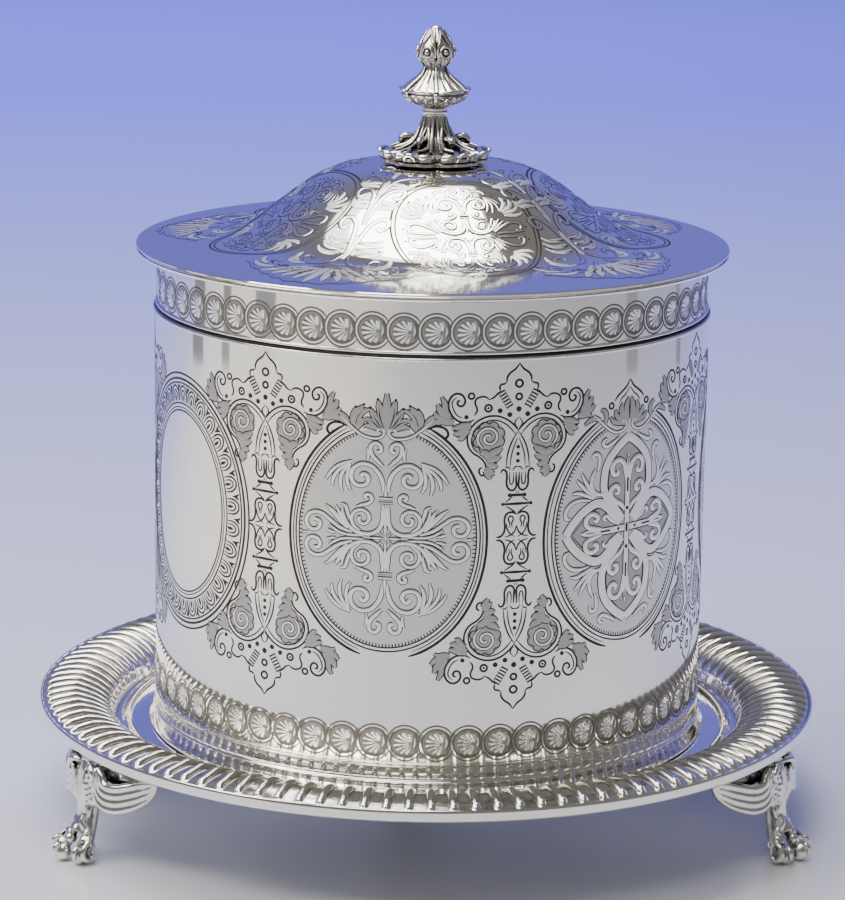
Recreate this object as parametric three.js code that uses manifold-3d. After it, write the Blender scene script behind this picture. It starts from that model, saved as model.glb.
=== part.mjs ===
// A Victorian-style silver-plated biscuit box: an engraved drum with a hinged domed lid,
// on its own round tray with a gadrooned border and three lion-paw feet.
// Millimetres, +Z up. The front of the box faces -Y and the hinge is at the back, at +Y.
import * as THREE from "three";
import { mergeVertices } from "three/addons/utils/BufferGeometryUtils.js";
import Module from "manifold-3d";

const wasm = await Module();
wasm.setup();

// General
const clearance = 0.3; // between pieces that are soldered, seated or screwed together
const overrun = 2; // how far a cutting solid runs past what it cuts
const roundFacets = 54; // facets round the drum and the lid
const smallFacets = 16; // facets round a pin or a bore

// Tray
const standHeight = 34; // floor to the top of the plain band
const bandHeight = 4; // height of the plain band
const bandWidth = 3.4; // thickness of the plain band, in plan
const bandRounding = 0.8; // softened edges of the band
const borderWidth = 22.8; // inner ends of the lobes to the outside of the plain band
const gadroonRise = 5.5; // from the inner ends to the crest of the border, in the grooves
const gadroonInnerDrop = 4.3; // inner ends of the lobes below the top of the band
const lobeHeight = 1.3; // a lobe above its grooves
const lobeGroups = 39; // groups of three lobes round the border
const wellDepth = 8.6; // well floor below the top of the band
const wellMargin = 4; // flat floor of the well beyond the wall of the drum
const wellSlopeWidth = 1.4; // from the flat floor up to the ledge
const ledgeHeight = 3.2; // ledge for the beaded wire above the well floor
const ledgeWidth = 3.6;
const ridgeOffset = 0.8; // crest of the small ridge beyond the ledge
const ridgeRise = 0.9;
const coveWidth = 2.4; // from the ridge to the inner ends of the lobes
const sheetThickness = 1.2; // tray metal
const beadWireWidth = 2.4;
const beadWireHeight = 1.3;

// Feet
const footAngles = [-60, 60, 180]; // degrees from the front
const pawOverhang = 11; // toe tips beyond the edge of the tray
const ankleInset = 1.4; // middle of the ankle inside the edge of the tray
const ankleWidth = 6.4;
const kneeOverhang = 0.4; // front of the knee and the wings beyond the edge
const wingSpan = 22.5; // wing tip from the middle of the foot, sideways
const wingCurl = 11; // how far the tip curls back inwards
const wingThickness = 2.2;
const toeLength = 9.6;
const toeWidth = 4.2;
const toeSpread = 2.9; // between the middles of neighbouring toes
const smoothedBelow = 0.08; // slivers where the parts of a foot meet are merged away
const padLength = 6.6; // solder pad that reaches the underside of the border
const padWidth = 8;
const padInset = 10; // middle of the pad inside the edge of the tray

// Drum
const drumRadius = 82; // outside of the wall
const drumHeight = 126.9; // bottom of the foot moulding to the mouth
const wallThickness = 1.2;
const footMouldingHeight = 4.9;
const footMouldingFlare = 1.7; // beyond the wall, at the bottom
const footMouldingStep = 1; // thickness of the ledge that carries the wall
const footMouldingCollar = 0.7; // thickness of the moulding at its top, beyond the gap
const basePlateThickness = 1.2;
const basePlateLift = 2.2; // underside of the base plate above the bottom of the moulding
const topWireHeight = 1.3;
const topWireWidth = 0.8;
const bezelThickness = 0.9;
const bezelDepth = 6; // below the mouth
const bezelStand = 4; // above the mouth, inside the skirt

// Lid
const skirtInset = 0.7; // skirt set back from the face of the drum
const skirtThickness = 1.1;
const lidHeight = 18.4; // mouth of the drum to the top edge of the brim
const brimOverhang = 5.4; // edge of the brim beyond the wall of the drum
const brimWidth = 24.9; // edge of the brim to the foot of the dome
const domeFootRise = 2.3; // above the edge of the brim
const domeFlareWidth = 24.3; // foot of the dome to its shoulder
const shoulderRise = 16.6;
const shoulderSlope = 0.7; // steepness of the dome at the shoulder
const crownRadius = 18; // flat seat of the finial
const crownRise = 23.3;
const lidThickness = 1;
const rimWireHeight = 1.1;
const rimWireWidth = 1.6;
const lowerWireHeight = 1.3;
const lowerWireWidth = 1;

// Finial
const finialHeight = 40; // seat to tip
const rosetteRadius = 16.7;
const neckRadius = 3.6;
const knopRadius = 11;
const upperNeckRadius = 3.3;
const budRadius = 7;
const finialLobes = 8;
const studRadius = 2;
const studLength = 8;
const washerRadius = 7;
const washerThickness = 1;
const nutAcrossFlats = 9;
const nutHeight = 3.5;

// Hinge
const leafWidth = 30;
const leafHeight = 7.5;
const leafThickness = 1;
const knuckleRadius = 2.3;
const knuckleCount = 5;
const pinRadius = 1.1;
const pinRunning = 0.1; // radial clearance of the pin in its knuckles
const pinOverhang = 0.5; // beyond the knuckles at each end

// Heights and radii that follow
const wellTop = standHeight - wellDepth;
const drumBottom = wellTop + clearance;
const mouth = drumBottom + drumHeight;
const wallInner = drumRadius - wallThickness;
const skirtOuter = drumRadius - skirtInset;
const skirtInner = skirtOuter - skirtThickness;
const brimTop = mouth + lidHeight;
const crownTop = brimTop + crownRise;
const wellRadius = drumRadius + wellMargin;
const ledgeInnerRadius = wellRadius + wellSlopeWidth;
const ledgeOuterRadius = ledgeInnerRadius + ledgeWidth;
const beadWireRadius = (ledgeInnerRadius + ledgeOuterRadius) / 2;
const ridgeRadius = ledgeOuterRadius + ridgeOffset;
const gadroonInnerRadius = ridgeRadius + coveWidth;
const trayRadius = gadroonInnerRadius + borderWidth;
const pawReach = trayRadius + pawOverhang;
const ankleRadius = trayRadius - ankleInset;
const kneeReach = trayRadius + kneeOverhang;
const padRadius = trayRadius - padInset;
const brimRadius = drumRadius + brimOverhang;
const domeFootRadius = brimRadius - brimWidth;
const shoulderRadius = domeFootRadius - domeFlareWidth;
const bandInner = trayRadius - bandWidth;
const flangeOuter = bandInner - clearance;
const flangeInnerTop = standHeight - gadroonInnerDrop;
const footHeight = standHeight - bandHeight - clearance;
const hingeReach = drumRadius + clearance + topWireWidth + clearance + knuckleRadius;
const hingeHeight = mouth + clearance / 2;

const silver = (roughness) =>
  new THREE.MeshStandardMaterial({ color: 0xd9d6cf, metalness: 1, roughness });
const polished = silver(0.12);
const cast = silver(0.25);
const inside = silver(0.35);

const box = new THREE.Group();
const lid = new THREE.Group();
box.add(lid);

function addPiece(group, name, geometry, material) {
  const mesh = new THREE.Mesh(geometry, material.clone());
  mesh.name = name;
  group.add(mesh);
  return mesh;
}

// A closed geometry with only positions, its shared vertices merged
function plain(geometry) {
  const bare = geometry.clone();
  bare.deleteAttribute("normal");
  bare.deleteAttribute("uv");
  return mergeVertices(bare);
}

function toSolid(geometry) {
  const merged = plain(geometry);
  return new wasm.Manifold(
    new wasm.Mesh({
      numProp: 3,
      vertProperties: merged.attributes.position.array,
      triVerts: new Uint32Array(merged.index.array),
    }),
  );
}

function toGeometry(solid) {
  const mesh = solid.getMesh();
  return new THREE.BufferGeometry()
    .setAttribute("position", new THREE.BufferAttribute(mesh.vertProperties, 3))
    .setIndex(new THREE.BufferAttribute(mesh.triVerts, 1));
}

const joined = (parts) => parts.reduce((whole, part) => whole.add(part));

// A ring turned about Z from a closed profile of [radius, height], anticlockwise
function turned(profile, facets = roundFacets) {
  const points = [...profile, profile[0]].map(([r, z]) => new THREE.Vector2(r, z));
  return plain(new THREE.LatheGeometry(points, facets).rotateX(Math.PI / 2));
}

// Two triangles, or a fan, between one closed row of points and the next
function stitch(faces, a, b) {
  const most = Math.max(a.count, b.count);
  const least = Math.min(a.count, b.count);
  const per = most / least;
  const at = (row, i) => row.start + (i % row.count);
  for (let i = 0; i < most; i++) {
    const slow = Math.floor(i / per);
    if (a.count >= b.count) faces.push(at(a, i), at(b, slow), at(a, i + 1));
    else faces.push(at(a, slow), at(b, i), at(b, i + 1));
    if (least > 1 && (i + 1) % per === 0) {
      if (a.count >= b.count) faces.push(at(a, i + 1), at(b, slow), at(b, slow + 1));
      else faces.push(at(a, slow), at(b, i + 1), at(a, slow + 1));
    }
  }
}

// A solid skinned over rows of points, from a pole or cap to a pole or cap.
// A row may have a whole number of times as many points as its neighbour.
function skinned(rows) {
  const points = [];
  const faces = [];
  const marks = rows.map((row) => {
    const mark = { start: points.length, count: row.length };
    points.push(...row);
    return mark;
  });
  for (let i = 0; i + 1 < marks.length; i++) stitch(faces, marks[i], marks[i + 1]);
  return new THREE.BufferGeometry().setFromPoints(points).setIndex(faces);
}

const middle = (row) =>
  row.reduce((sum, p) => sum.add(p), new THREE.Vector3()).divideScalar(row.length);

// Rows closed at both ends by a point in the middle of the end row
const capped = (rows) => skinned([[middle(rows[0])], ...rows, [middle(rows.at(-1))]]);

// A row of points round the Z axis; shape gives the radius and height at each step
function circleRow(count, shape) {
  return Array.from({ length: count }, (_, i) => {
    const angle = (2 * Math.PI * i) / count;
    const { r, z } = shape(i);
    return new THREE.Vector3(r * Math.sin(angle), -r * Math.cos(angle), z);
  });
}

const evenRow = (count, r, z) => circleRow(count, () => ({ r, z }));

// Tray pan with its border of radial lobes.
// Shares: place between the inner and outer ends, rise of the grooves, height of the lobe.
const borderShares = [
  [0.08, 0.16, 0.55],
  [0.28, 0.66, 0.85],
  [0.54, 1.0, 1.0],
  [0.8, 0.92, 1.0],
  [0.96, 0.74, 0.75],
];
const borderEdgeShare = 0.67; // rise at the outer end of the border
const pointsPerLobe = 3;
const lobesPerGroup = 3;

const borderRadius = (share) => THREE.MathUtils.lerp(gadroonInnerRadius, flangeOuter, share);
const borderGroove = (share) => flangeInnerTop + gadroonRise * share;

function trayPan() {
  const coarse = lobeGroups;
  const fine = lobeGroups * lobesPerGroup * pointsPerLobe;
  const lobed = borderShares.map(([place, rise, lobe]) =>
    circleRow(fine, (i) => ({
      r: borderRadius(place),
      z: borderGroove(rise) + (i % pointsPerLobe ? lobeHeight * lobe : 0),
    })),
  );
  const ledgeTop = wellTop + ledgeHeight;
  const [crestPlace, crestRise] = borderShares[2];
  const [slopePlace, slopeRise] = borderShares[1];
  const edgeTop = borderGroove(borderEdgeShare);
  return skinned([
    evenRow(1, 0, wellTop),
    evenRow(coarse, wellRadius, wellTop),
    evenRow(coarse, ledgeInnerRadius, ledgeTop),
    evenRow(coarse, ledgeOuterRadius, ledgeTop),
    evenRow(coarse, ridgeRadius, ledgeTop + ridgeRise),
    evenRow(coarse, (ridgeRadius + gadroonInnerRadius) / 2, ledgeTop),
    evenRow(coarse, gadroonInnerRadius, flangeInnerTop),
    ...lobed,
    evenRow(coarse, flangeOuter, edgeTop),
    evenRow(coarse, flangeOuter, edgeTop - sheetThickness),
    evenRow(coarse, borderRadius(crestPlace), borderGroove(crestRise) - sheetThickness),
    evenRow(coarse, borderRadius(slopePlace), borderGroove(slopeRise) - sheetThickness),
    evenRow(coarse, gadroonInnerRadius, ledgeTop - sheetThickness),
    evenRow(coarse, ledgeInnerRadius + sheetThickness / 2, ledgeTop - sheetThickness),
    evenRow(coarse, wellRadius + sheetThickness / 2, wellTop - sheetThickness),
    evenRow(1, 0, wellTop - sheetThickness),
  ]);
}

function trayBand() {
  const top = standHeight;
  const bottom = standHeight - bandHeight;
  return turned(
    [
      [bandInner, bottom],
      [trayRadius - bandRounding, bottom],
      [trayRadius, (top + bottom) / 2],
      [trayRadius - bandRounding, top],
      [bandInner, top],
    ],
    roundFacets + smallFacets,
  );
}

// A half-round wire that stands on a flat seat: flat below, crowned above
function crownedWire(middleRadius, width, seat, height) {
  return turned([
    [middleRadius - width / 2, seat],
    [middleRadius + width / 2, seat],
    [middleRadius + width / 4, seat + height],
    [middleRadius - width / 4, seat + height],
  ]);
}

// A half-round wire that lies against an upright wall: flat inside, crowned outside
function sideWire(inner, width, bottom, height) {
  return turned([
    [inner, bottom],
    [inner + width, bottom + height / 4],
    [inner + width, bottom + (height * 3) / 4],
    [inner, bottom + height],
  ]);
}

// Foot, in its own frame: X outwards from the middle of the tray, Y sideways.
// Shares: height, place between the ankle and the toe tips, depth and width in ankle widths.
const legShares = [
  [0, 0.31, 1.62, 1.72],
  [0.06, 0.29, 1.8, 1.88],
  [0.15, 0.27, 1.78, 1.86],
  [0.25, 0.16, 1.44, 1.5],
  [0.34, 0.06, 1.06, 1.1],
  [0.44, 0.0, 1.0, 1.0],
  [0.6, -0.1, 1.14, 1.2],
  [0.79, -0.2, 1.4, 1.54],
  [1.0, -0.32, 1.6, 1.6],
];
const legFacets = 10;

function leg() {
  const overhang = pawReach - ankleRadius;
  const rows = legShares.map(([height, place, depth, width]) =>
    Array.from({ length: legFacets }, (_, i) => {
      const angle = (-2 * Math.PI * i) / legFacets;
      return new THREE.Vector3(
        ankleRadius + overhang * place + (ankleWidth / 2) * depth * Math.cos(angle),
        (ankleWidth / 2) * width * Math.sin(angle),
        footHeight * height,
      );
    }),
  );
  return toSolid(capped(rows));
}

// Shares along a toe: length, height of its middle and thickness, both in toe widths
const toeShares = [
  [-0.2, 1.2, 0.8],
  [0.34, 1.34, 1.36],
  [0.7, 0.92, 1.36],
  [0.92, 0.66, 1.1],
  [1, 0.56, 0.6],
];
const toeFacets = 6;
const toeFan = 0.16; // radians between neighbouring toes
const outerToeShare = 0.86; // length of the outer toes

function toe(place) {
  const side = place * toeSpread;
  const fan = place * toeFan;
  const long = toeLength * (Math.abs(place) > 1 ? outerToeShare : 1);
  const root = pawReach - toeLength;
  const rows = toeShares.map(([along, lift, thick]) =>
    Array.from({ length: toeFacets }, (_, i) => {
      const angle = (-2 * Math.PI * (i + 0.5)) / toeFacets;
      const across = (toeWidth / 2) * thick * Math.cos(angle);
      return new THREE.Vector3(
        root + long * along * Math.cos(fan) - across * Math.sin(fan),
        side * (toeLength / (toeLength + toeWidth)) + long * along * Math.sin(fan) + across,
        Math.max(0, toeWidth * lift + (toeWidth / 2) * thick * Math.sin(angle)),
      );
    }),
  );
  return toSolid(capped(rows));
}

// Shares along a wing: sideways, curl inwards, height of its lower edge
const wingShares = [
  [0.05, 0.0, 0.5],
  [0.27, 0.0, 0.52],
  [0.48, 0.05, 0.6],
  [0.68, 0.2, 0.68],
  [0.86, 0.5, 0.75],
  [0.96, 0.78, 0.82],
  [1.0, 1.0, 0.9],
];
const wingBulgeShare = 0.35; // where the lower third of the wing turns under
const wingUnderShare = 1.7; // how far it turns under, in wing thicknesses

function wing(side) {
  const rows = wingShares.map(([across, curl, low]) => {
    const face = kneeReach - wingCurl * curl;
    const bottom = footHeight * low;
    const bulge = THREE.MathUtils.lerp(bottom, footHeight, wingBulgeShare);
    const under = wingThickness * wingUnderShare;
    const outline = [
      [face, footHeight],
      [face - wingThickness, footHeight],
      [face - wingThickness * 1.2, bulge],
      [face - wingThickness - under, bottom + wingThickness / 2],
      [face - under, bottom],
      [face - wingThickness / 5, bulge],
    ];
    const row = outline.map(([x, z]) => new THREE.Vector3(x, side * wingSpan * across, z));
    return side > 0 ? row : row.reverse();
  });
  return toSolid(capped(rows));
}

// Underside of the border between its crest and its outer edge, where a facet lies lowest
function borderUnderside(radius) {
  const [crestPlace, crestRise] = borderShares[2];
  const facetRadius = radius / Math.cos(Math.PI / lobeGroups);
  const crest = borderRadius(crestPlace);
  const share = (facetRadius - crest) / (flangeOuter - crest);
  const groove = THREE.MathUtils.lerp(crestRise, borderEdgeShare, share);
  return borderGroove(groove) - sheetThickness;
}

function solderPad() {
  const corner = Math.hypot(padRadius + padLength / 2, padWidth / 2);
  const top = borderUnderside(corner) - clearance;
  const bottom = footHeight * legShares.at(-2)[0];
  const pad = new THREE.BoxGeometry(padLength, padWidth, top - bottom);
  return toSolid(pad.translate(padRadius, 0, (top + bottom) / 2));
}

function pawFoot() {
  const toes = [-1.5, -0.5, 0.5, 1.5].map(toe);
  const whole = joined([leg(), ...toes, wing(1), wing(-1), solderPad()]);
  return whole.simplify(smoothedBelow);
}

// Drum
function footMoulding() {
  const ledge = drumBottom + footMouldingStep;
  const inside = drumRadius + clearance;
  return turned([
    [wallInner, drumBottom],
    [drumRadius + footMouldingFlare, drumBottom],
    [drumRadius + footMouldingFlare, ledge],
    [inside + footMouldingCollar, drumBottom + footMouldingHeight],
    [inside, drumBottom + footMouldingHeight],
    [inside, ledge],
    [wallInner, ledge],
  ]);
}

function drumWall() {
  const bottom = drumBottom + footMouldingStep + clearance;
  return turned([
    [wallInner, bottom],
    [drumRadius, bottom],
    [drumRadius, mouth],
    [wallInner, mouth],
  ]);
}

function basePlate() {
  const bottom = drumBottom + basePlateLift;
  const edge = wallInner - clearance;
  return skinned([
    evenRow(1, 0, bottom + basePlateThickness),
    evenRow(roundFacets, edge, bottom + basePlateThickness),
    evenRow(roundFacets, edge, bottom),
    evenRow(1, 0, bottom),
  ]);
}

function bezel() {
  const low = wallInner - clearance;
  const high = skirtInner - clearance;
  const inner = Math.min(low, high) - bezelThickness;
  return turned([
    [inner, mouth - bezelDepth],
    [low, mouth - bezelDepth],
    [low, mouth],
    [high, mouth],
    [high, mouth + bezelStand],
    [inner, mouth + bezelStand],
  ]);
}

// Lid. The dome is two smooth curves that meet at the shoulder, and a straight brim.
function smoothCurve([r0, z0, slope0], [r1, z1, slope1]) {
  const third = (r1 - r0) / 3;
  return new THREE.CubicBezierCurve(
    new THREE.Vector2(r0, z0),
    new THREE.Vector2(r0 + third, z0 + slope0 * third),
    new THREE.Vector2(r1 - third, z1 - slope1 * third),
    new THREE.Vector2(r1, z1),
  );
}

const brimSlope = -domeFootRise / (brimRadius - domeFootRadius);

function domeLine(steps) {
  const shoulder = [shoulderRadius, brimTop + shoulderRise, -shoulderSlope];
  const crown = smoothCurve([crownRadius, crownTop, 0], shoulder);
  const foot = smoothCurve(shoulder, [domeFootRadius, brimTop + domeFootRise, brimSlope]);
  return [...crown.getPoints(steps), ...foot.getPoints(steps).slice(1)].map((p) => [p.x, p.y]);
}

const domeSteps = 3;
const domeHole = studRadius + clearance;

function lidDome() {
  const top = [[domeHole, crownTop], ...domeLine(domeSteps), [brimRadius, brimTop]];
  const bottom = [[domeHole, crownTop], ...domeLine(domeSteps - 1), [brimRadius, brimTop]];
  const under = bottom.map(([r, z]) => [r, z - lidThickness]);
  return turned([...under, ...top.reverse()]);
}

const brimUnderside = (r) => brimTop + brimSlope * (r - brimRadius) - lidThickness;

function lidSkirt() {
  const bottom = mouth + clearance;
  const top = brimUnderside(skirtOuter) - clearance;
  return turned([
    [skirtInner, bottom],
    [skirtOuter, bottom],
    [skirtOuter, top],
    [skirtInner, top],
  ]);
}

function lidRimWire() {
  const top = brimUnderside(brimRadius) - clearance;
  return turned([
    [brimRadius - rimWireWidth, top - rimWireHeight],
    [brimRadius - rimWireWidth / 4, top - rimWireHeight],
    [brimRadius, top - rimWireHeight / 2],
    [brimRadius, top],
    [brimRadius - rimWireWidth, top],
  ]);
}

// Finial: shares of height, a radius, and how deep the lobes cut at each level
const finialLevels = [
  [0, rosetteRadius * 0.93, 0.1],
  [0.025, rosetteRadius, 0.14],
  [0.07, rosetteRadius * 0.97, 0.14],
  [0.12, rosetteRadius * 0.76, 0.12],
  [0.16, rosetteRadius * 0.46, 0.12],
  [0.235, neckRadius * 1.42, 0.14],
  [0.355, neckRadius, 0.12],
  [0.4, neckRadius * 1.15, 0],
  [0.435, neckRadius * 1.12, 0],
  [0.485, knopRadius * 0.72, 0.06],
  [0.53, knopRadius, 0.1],
  [0.565, knopRadius * 0.93, 0.12],
  [0.615, knopRadius * 0.54, 0.12],
  [0.66, upperNeckRadius * 1.16, 0.08],
  [0.715, upperNeckRadius, 0],
  [0.76, upperNeckRadius * 1.36, 0],
  [0.795, budRadius * 0.87, 0.12],
  [0.84, budRadius, 0.16],
  [0.885, budRadius * 0.8, 0.12],
  [0.935, budRadius * 0.58, 0.06],
  [0.975, budRadius * 0.34, 0],
];

function finial() {
  const seat = crownTop + clearance;
  const count = finialLobes * pointsPerLobe;
  const rows = finialLevels.map(([height, radius, cut]) =>
    circleRow(count, (i) => ({
      r: radius * (i % pointsPerLobe ? 1 : 1 - cut),
      z: seat + finialHeight * height,
    })),
  );
  const turning = skinned([
    evenRow(1, 0, seat + finialHeight),
    ...rows.reverse(),
    evenRow(1, 0, seat),
  ]);
  const stud = new THREE.CylinderGeometry(
    studRadius,
    studRadius,
    studLength + overrun,
    smallFacets / 2,
  );
  stud.rotateX(Math.PI / 2).translate(0, 0, seat + overrun - (studLength + overrun) / 2);
  return toSolid(turning).add(toSolid(stud));
}

const washerTop = crownTop - lidThickness - clearance;

function finialWasher() {
  return turned(
    [
      [domeHole, washerTop - washerThickness],
      [washerRadius, washerTop - washerThickness],
      [washerRadius, washerTop],
      [domeHole, washerTop],
    ],
    smallFacets,
  );
}

function finialNut() {
  const corner = nutAcrossFlats / Math.sqrt(3);
  const hexagon = new THREE.Shape(
    Array.from({ length: 6 }, (_, i) => {
      const angle = (Math.PI * i) / 3;
      return new THREE.Vector2(corner * Math.cos(angle), corner * Math.sin(angle));
    }),
  );
  const bore = new THREE.Path().absarc(0, 0, domeHole, 0, 2 * Math.PI, true);
  hexagon.holes.push(bore);
  const nut = new THREE.ExtrudeGeometry(hexagon, {
    depth: nutHeight,
    bevelEnabled: false,
    curveSegments: smallFacets / 2,
  });
  const top = washerTop - washerThickness - clearance;
  return plain(nut.translate(0, 0, top - nutHeight));
}

// Hinge: each leaf is a strip of a ring that hugs its wall, with straight knuckles
function ringStrip(profile, centre, width) {
  const deep = hingeReach + knuckleRadius + overrun;
  const window = new THREE.BoxGeometry(width, deep, 2 * brimTop);
  window.translate(centre, deep / 2, brimTop);
  return toSolid(turned(profile)).intersect(toSolid(window));
}

function rod(radius, length, centre) {
  const bar = new THREE.CylinderGeometry(radius, radius, length, smallFacets);
  bar.rotateZ(Math.PI / 2).translate(centre, hingeReach, hingeHeight);
  return toSolid(bar);
}

// side is 1 for the leaf above the hinge line and -1 for the leaf below it
function hingeLeaf(side, wallFace, wireHeight, firstKnuckle) {
  const inner = wallFace + clearance;
  const outer = inner + leafThickness;
  const near = hingeHeight + side * (clearance / 2 + wireHeight + 2 * clearance);
  const far = near + side * leafHeight;
  const root = near + side * knuckleRadius * 1.6;
  const wireFace = hingeReach - knuckleRadius - clearance / 3;
  const upright = (points) => (side > 0 ? points : points.reverse());
  const plate = upright([
    [inner, near],
    [outer, near],
    [outer, far],
    [inner, far],
  ]);
  const gusset = upright([
    [inner + leafThickness / 2, near],
    [wireFace, near - (side * clearance) / 3],
    [hingeReach, hingeHeight],
    [hingeReach + knuckleRadius / 2, near - side * clearance],
    [outer, root],
    [inner + leafThickness / 2, root],
  ]);
  const pitch = leafWidth / knuckleCount;
  const solids = [ringStrip(plate, 0, leafWidth)];
  for (let i = firstKnuckle; i < knuckleCount; i += 2) {
    const centre = (i + 0.5) * pitch - leafWidth / 2;
    const width = pitch - clearance;
    solids.push(ringStrip(gusset, centre, width), rod(knuckleRadius, width, centre));
  }
  const bore = rod(pinRadius + pinRunning, leafWidth + overrun, 0);
  return joined(solids).subtract(bore);
}

addPiece(box, "tray_pan", trayPan(), polished);
addPiece(box, "tray_rim_band", trayBand(), polished);
addPiece(
  box,
  "tray_bead_ring",
  crownedWire(
    beadWireRadius,
    beadWireWidth,
    wellTop + ledgeHeight + clearance,
    beadWireHeight,
  ),
  polished,
);

const footNames = ["foot_front_left", "foot_front_right", "foot_back"];
const footShape = toGeometry(pawFoot());
footNames.forEach((name, i) => {
  const foot = addPiece(box, name, footShape.clone(), cast);
  foot.rotation.z = THREE.MathUtils.degToRad(footAngles[i] - 90);
});

addPiece(box, "drum_foot_ring", footMoulding(), polished);
addPiece(box, "drum_wall", drumWall(), polished);
addPiece(box, "drum_base_plate", basePlate(), inside);
addPiece(box, "drum_bezel", bezel(), inside);
const topWireBottom = mouth - clearance - topWireHeight;
const topWire = sideWire(drumRadius + clearance, topWireWidth, topWireBottom, topWireHeight);
addPiece(box, "drum_top_wire", topWire, polished);
const bodyLeaf = hingeLeaf(-1, drumRadius, topWireHeight, 0);
addPiece(box, "hinge_body_leaf", toGeometry(bodyLeaf), polished);
const pin = rod(pinRadius, leafWidth + 2 * pinOverhang, 0);
addPiece(box, "hinge_pin", toGeometry(pin), polished);

addPiece(lid, "lid_dome", lidDome(), polished);
addPiece(lid, "lid_rim_wire", lidRimWire(), polished);
addPiece(lid, "lid_skirt", lidSkirt(), polished);
const lowerWire = sideWire(
  skirtOuter + clearance,
  lowerWireWidth,
  mouth + clearance,
  lowerWireHeight,
);
addPiece(lid, "lid_lower_wire", lowerWire, polished);
const lidLeaf = hingeLeaf(1, skirtOuter, lowerWireHeight, 1);
addPiece(lid, "hinge_lid_leaf", toGeometry(lidLeaf), polished);
addPiece(lid, "finial", toGeometry(finial()), cast);
addPiece(lid, "finial_washer", finialWasher(), inside);
addPiece(lid, "finial_nut", finialNut(), inside);

// The back paw reaches past the tray, so the whole is moved to stand over the middle of its box
box.position.y = (trayRadius - pawReach) / 2;

export default box;
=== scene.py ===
# The looks of a silver-plated biscuit box on a gadrooned stand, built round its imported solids.
# The front faces -Y. Lengths of the box are written in millimetres and turned into metres by MM;
# those of the floor, lamps and cards round it are in metres.
import math

import bmesh
import bpy
import numpy as np
from mathutils import Euler, Matrix, Vector


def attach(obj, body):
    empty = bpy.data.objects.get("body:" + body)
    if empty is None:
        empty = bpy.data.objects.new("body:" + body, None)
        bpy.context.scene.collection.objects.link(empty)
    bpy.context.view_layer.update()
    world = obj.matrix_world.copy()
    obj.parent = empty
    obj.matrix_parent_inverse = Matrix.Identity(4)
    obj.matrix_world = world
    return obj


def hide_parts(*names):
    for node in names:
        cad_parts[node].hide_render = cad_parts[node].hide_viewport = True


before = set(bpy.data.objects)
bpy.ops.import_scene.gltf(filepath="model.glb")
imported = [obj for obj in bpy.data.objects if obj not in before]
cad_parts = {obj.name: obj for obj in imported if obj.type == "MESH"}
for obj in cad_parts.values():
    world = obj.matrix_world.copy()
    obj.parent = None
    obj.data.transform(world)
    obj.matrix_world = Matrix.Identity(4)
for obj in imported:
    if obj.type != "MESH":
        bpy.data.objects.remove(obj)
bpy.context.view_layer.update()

MM = 0.001
WELD_GAP = 0.002 * MM
AXIS_Y = -5.5  # the drum stands this far in front of the middle of the whole object

# Stand
RIM_TOP = 34.0
RIM_RADIUS = 117.0
WELL_TOP = 25.4
WELL_BOTTOM = 24.0
BORDER_HEIGHT = 29.7
BORDER_RISE = 5.5
BORDER_THICKNESS = 1.2
BEAD_RADIUS = 90.15
BEAD_COUNT = 354
WING_SPAN = 22.5
WING_CURL = 11.0
FOOT_SOLE = 0.02
FOOT_TOP = 29.6
GADROON_COUNT = 117
GADROON_HEIGHT = 1.3
GADROON_HALF_SHARE = 0.215
GADROON_INNER = 94.2
GADROON_OUTER = 115.8

# Drum and lid
DRUM_RADIUS = 82.0
DRUM_INNER = 80.8
MOUTH = 152.6
SKIRT_RADIUS = 81.3
BRIM_TOP = 171.0
BRIM_RADIUS = 87.4
DOME_FOOT = (62.5, 173.3)
SHOULDER = (38.2, 187.6)
SHOULDER_SLOPE = -0.7
CROWN = (18.0, 194.3)
LID_THICKNESS = 1.0
FINIAL_SEAT = 194.6
FINIAL_PARTS = 6
STUD_HOLE = 2.3
NUT_HEIGHT = 189.95
NUT_ACROSS_FLATS = 9.0
HINGE_REACH = 85.7
HINGE_HEIGHT = 152.75
HINGE_WIDTH = 30.0
KNUCKLES = 5
KNUCKLE_RADIUS = 2.3
PIN_RADIUS = 1.1
LEAF_GAP = 2.05  # from the pin's middle to the near end of a leaf
LEAF_HEIGHT = 7.5

# Engraving, with angles in degrees from the front
KINDS = {  # layers of (finish, added width, flatness, lift)
    "cut": [("cut", 0.0, 0.16, 0.03)],
    "raised": [("cut", 0.5, 0.05, 0.035), ("raised", 0.0, 0.2, 0.07)],
    "band": [("cut", 0.7, 0.02, 0.04), ("raised", 0.0, 0.035, 0.08)],
    "leaf": [("cut", 0.66, 0.03, 0.03), ("shaded", 0.0, 0.1, 0.06)],
    "frond": [("cut", 0.36, 0.03, 0.03), ("matted", 0.0, 0.12, 0.06)],
    "petal": [("raised", 0.0, 0.3, 0.06)],
    "worn": [("worn", 0.0, 0.06, 0.05)],
    "over": [("cut", 0.0, 0.1, 0.13)],
}
MATTING_PITCH = 0.42
TURN = -2.35  # added to every angle
OVAL_HEIGHT = 101.0
ELEMENT_PITCH = 360 / 14
FIRST_STRAP = -34.25
FIRST_OVAL = -59.95
ROUNDELS = 58
ROUNDEL_ROWS = (  # name, body, radius, height of the middles, angle of the first
    ("drum_roundel", "box", DRUM_RADIUS, 41.9, 2.03),
    ("skirt_roundel", "lid", SKIRT_RADIUS, 159.4, 0.85),
)
CARTOUCHES = (-64.0, 12.0, 83.0, 154.0, 225.0)
CARTOUCHE_STEMS = 13  # the foliate oval's stems that a cartouche repeats
CARTOUCHE_MIDDLE = 35.0  # down the dome's slope from the finial
FOLIAGE_MIDDLE = 33.0
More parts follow.
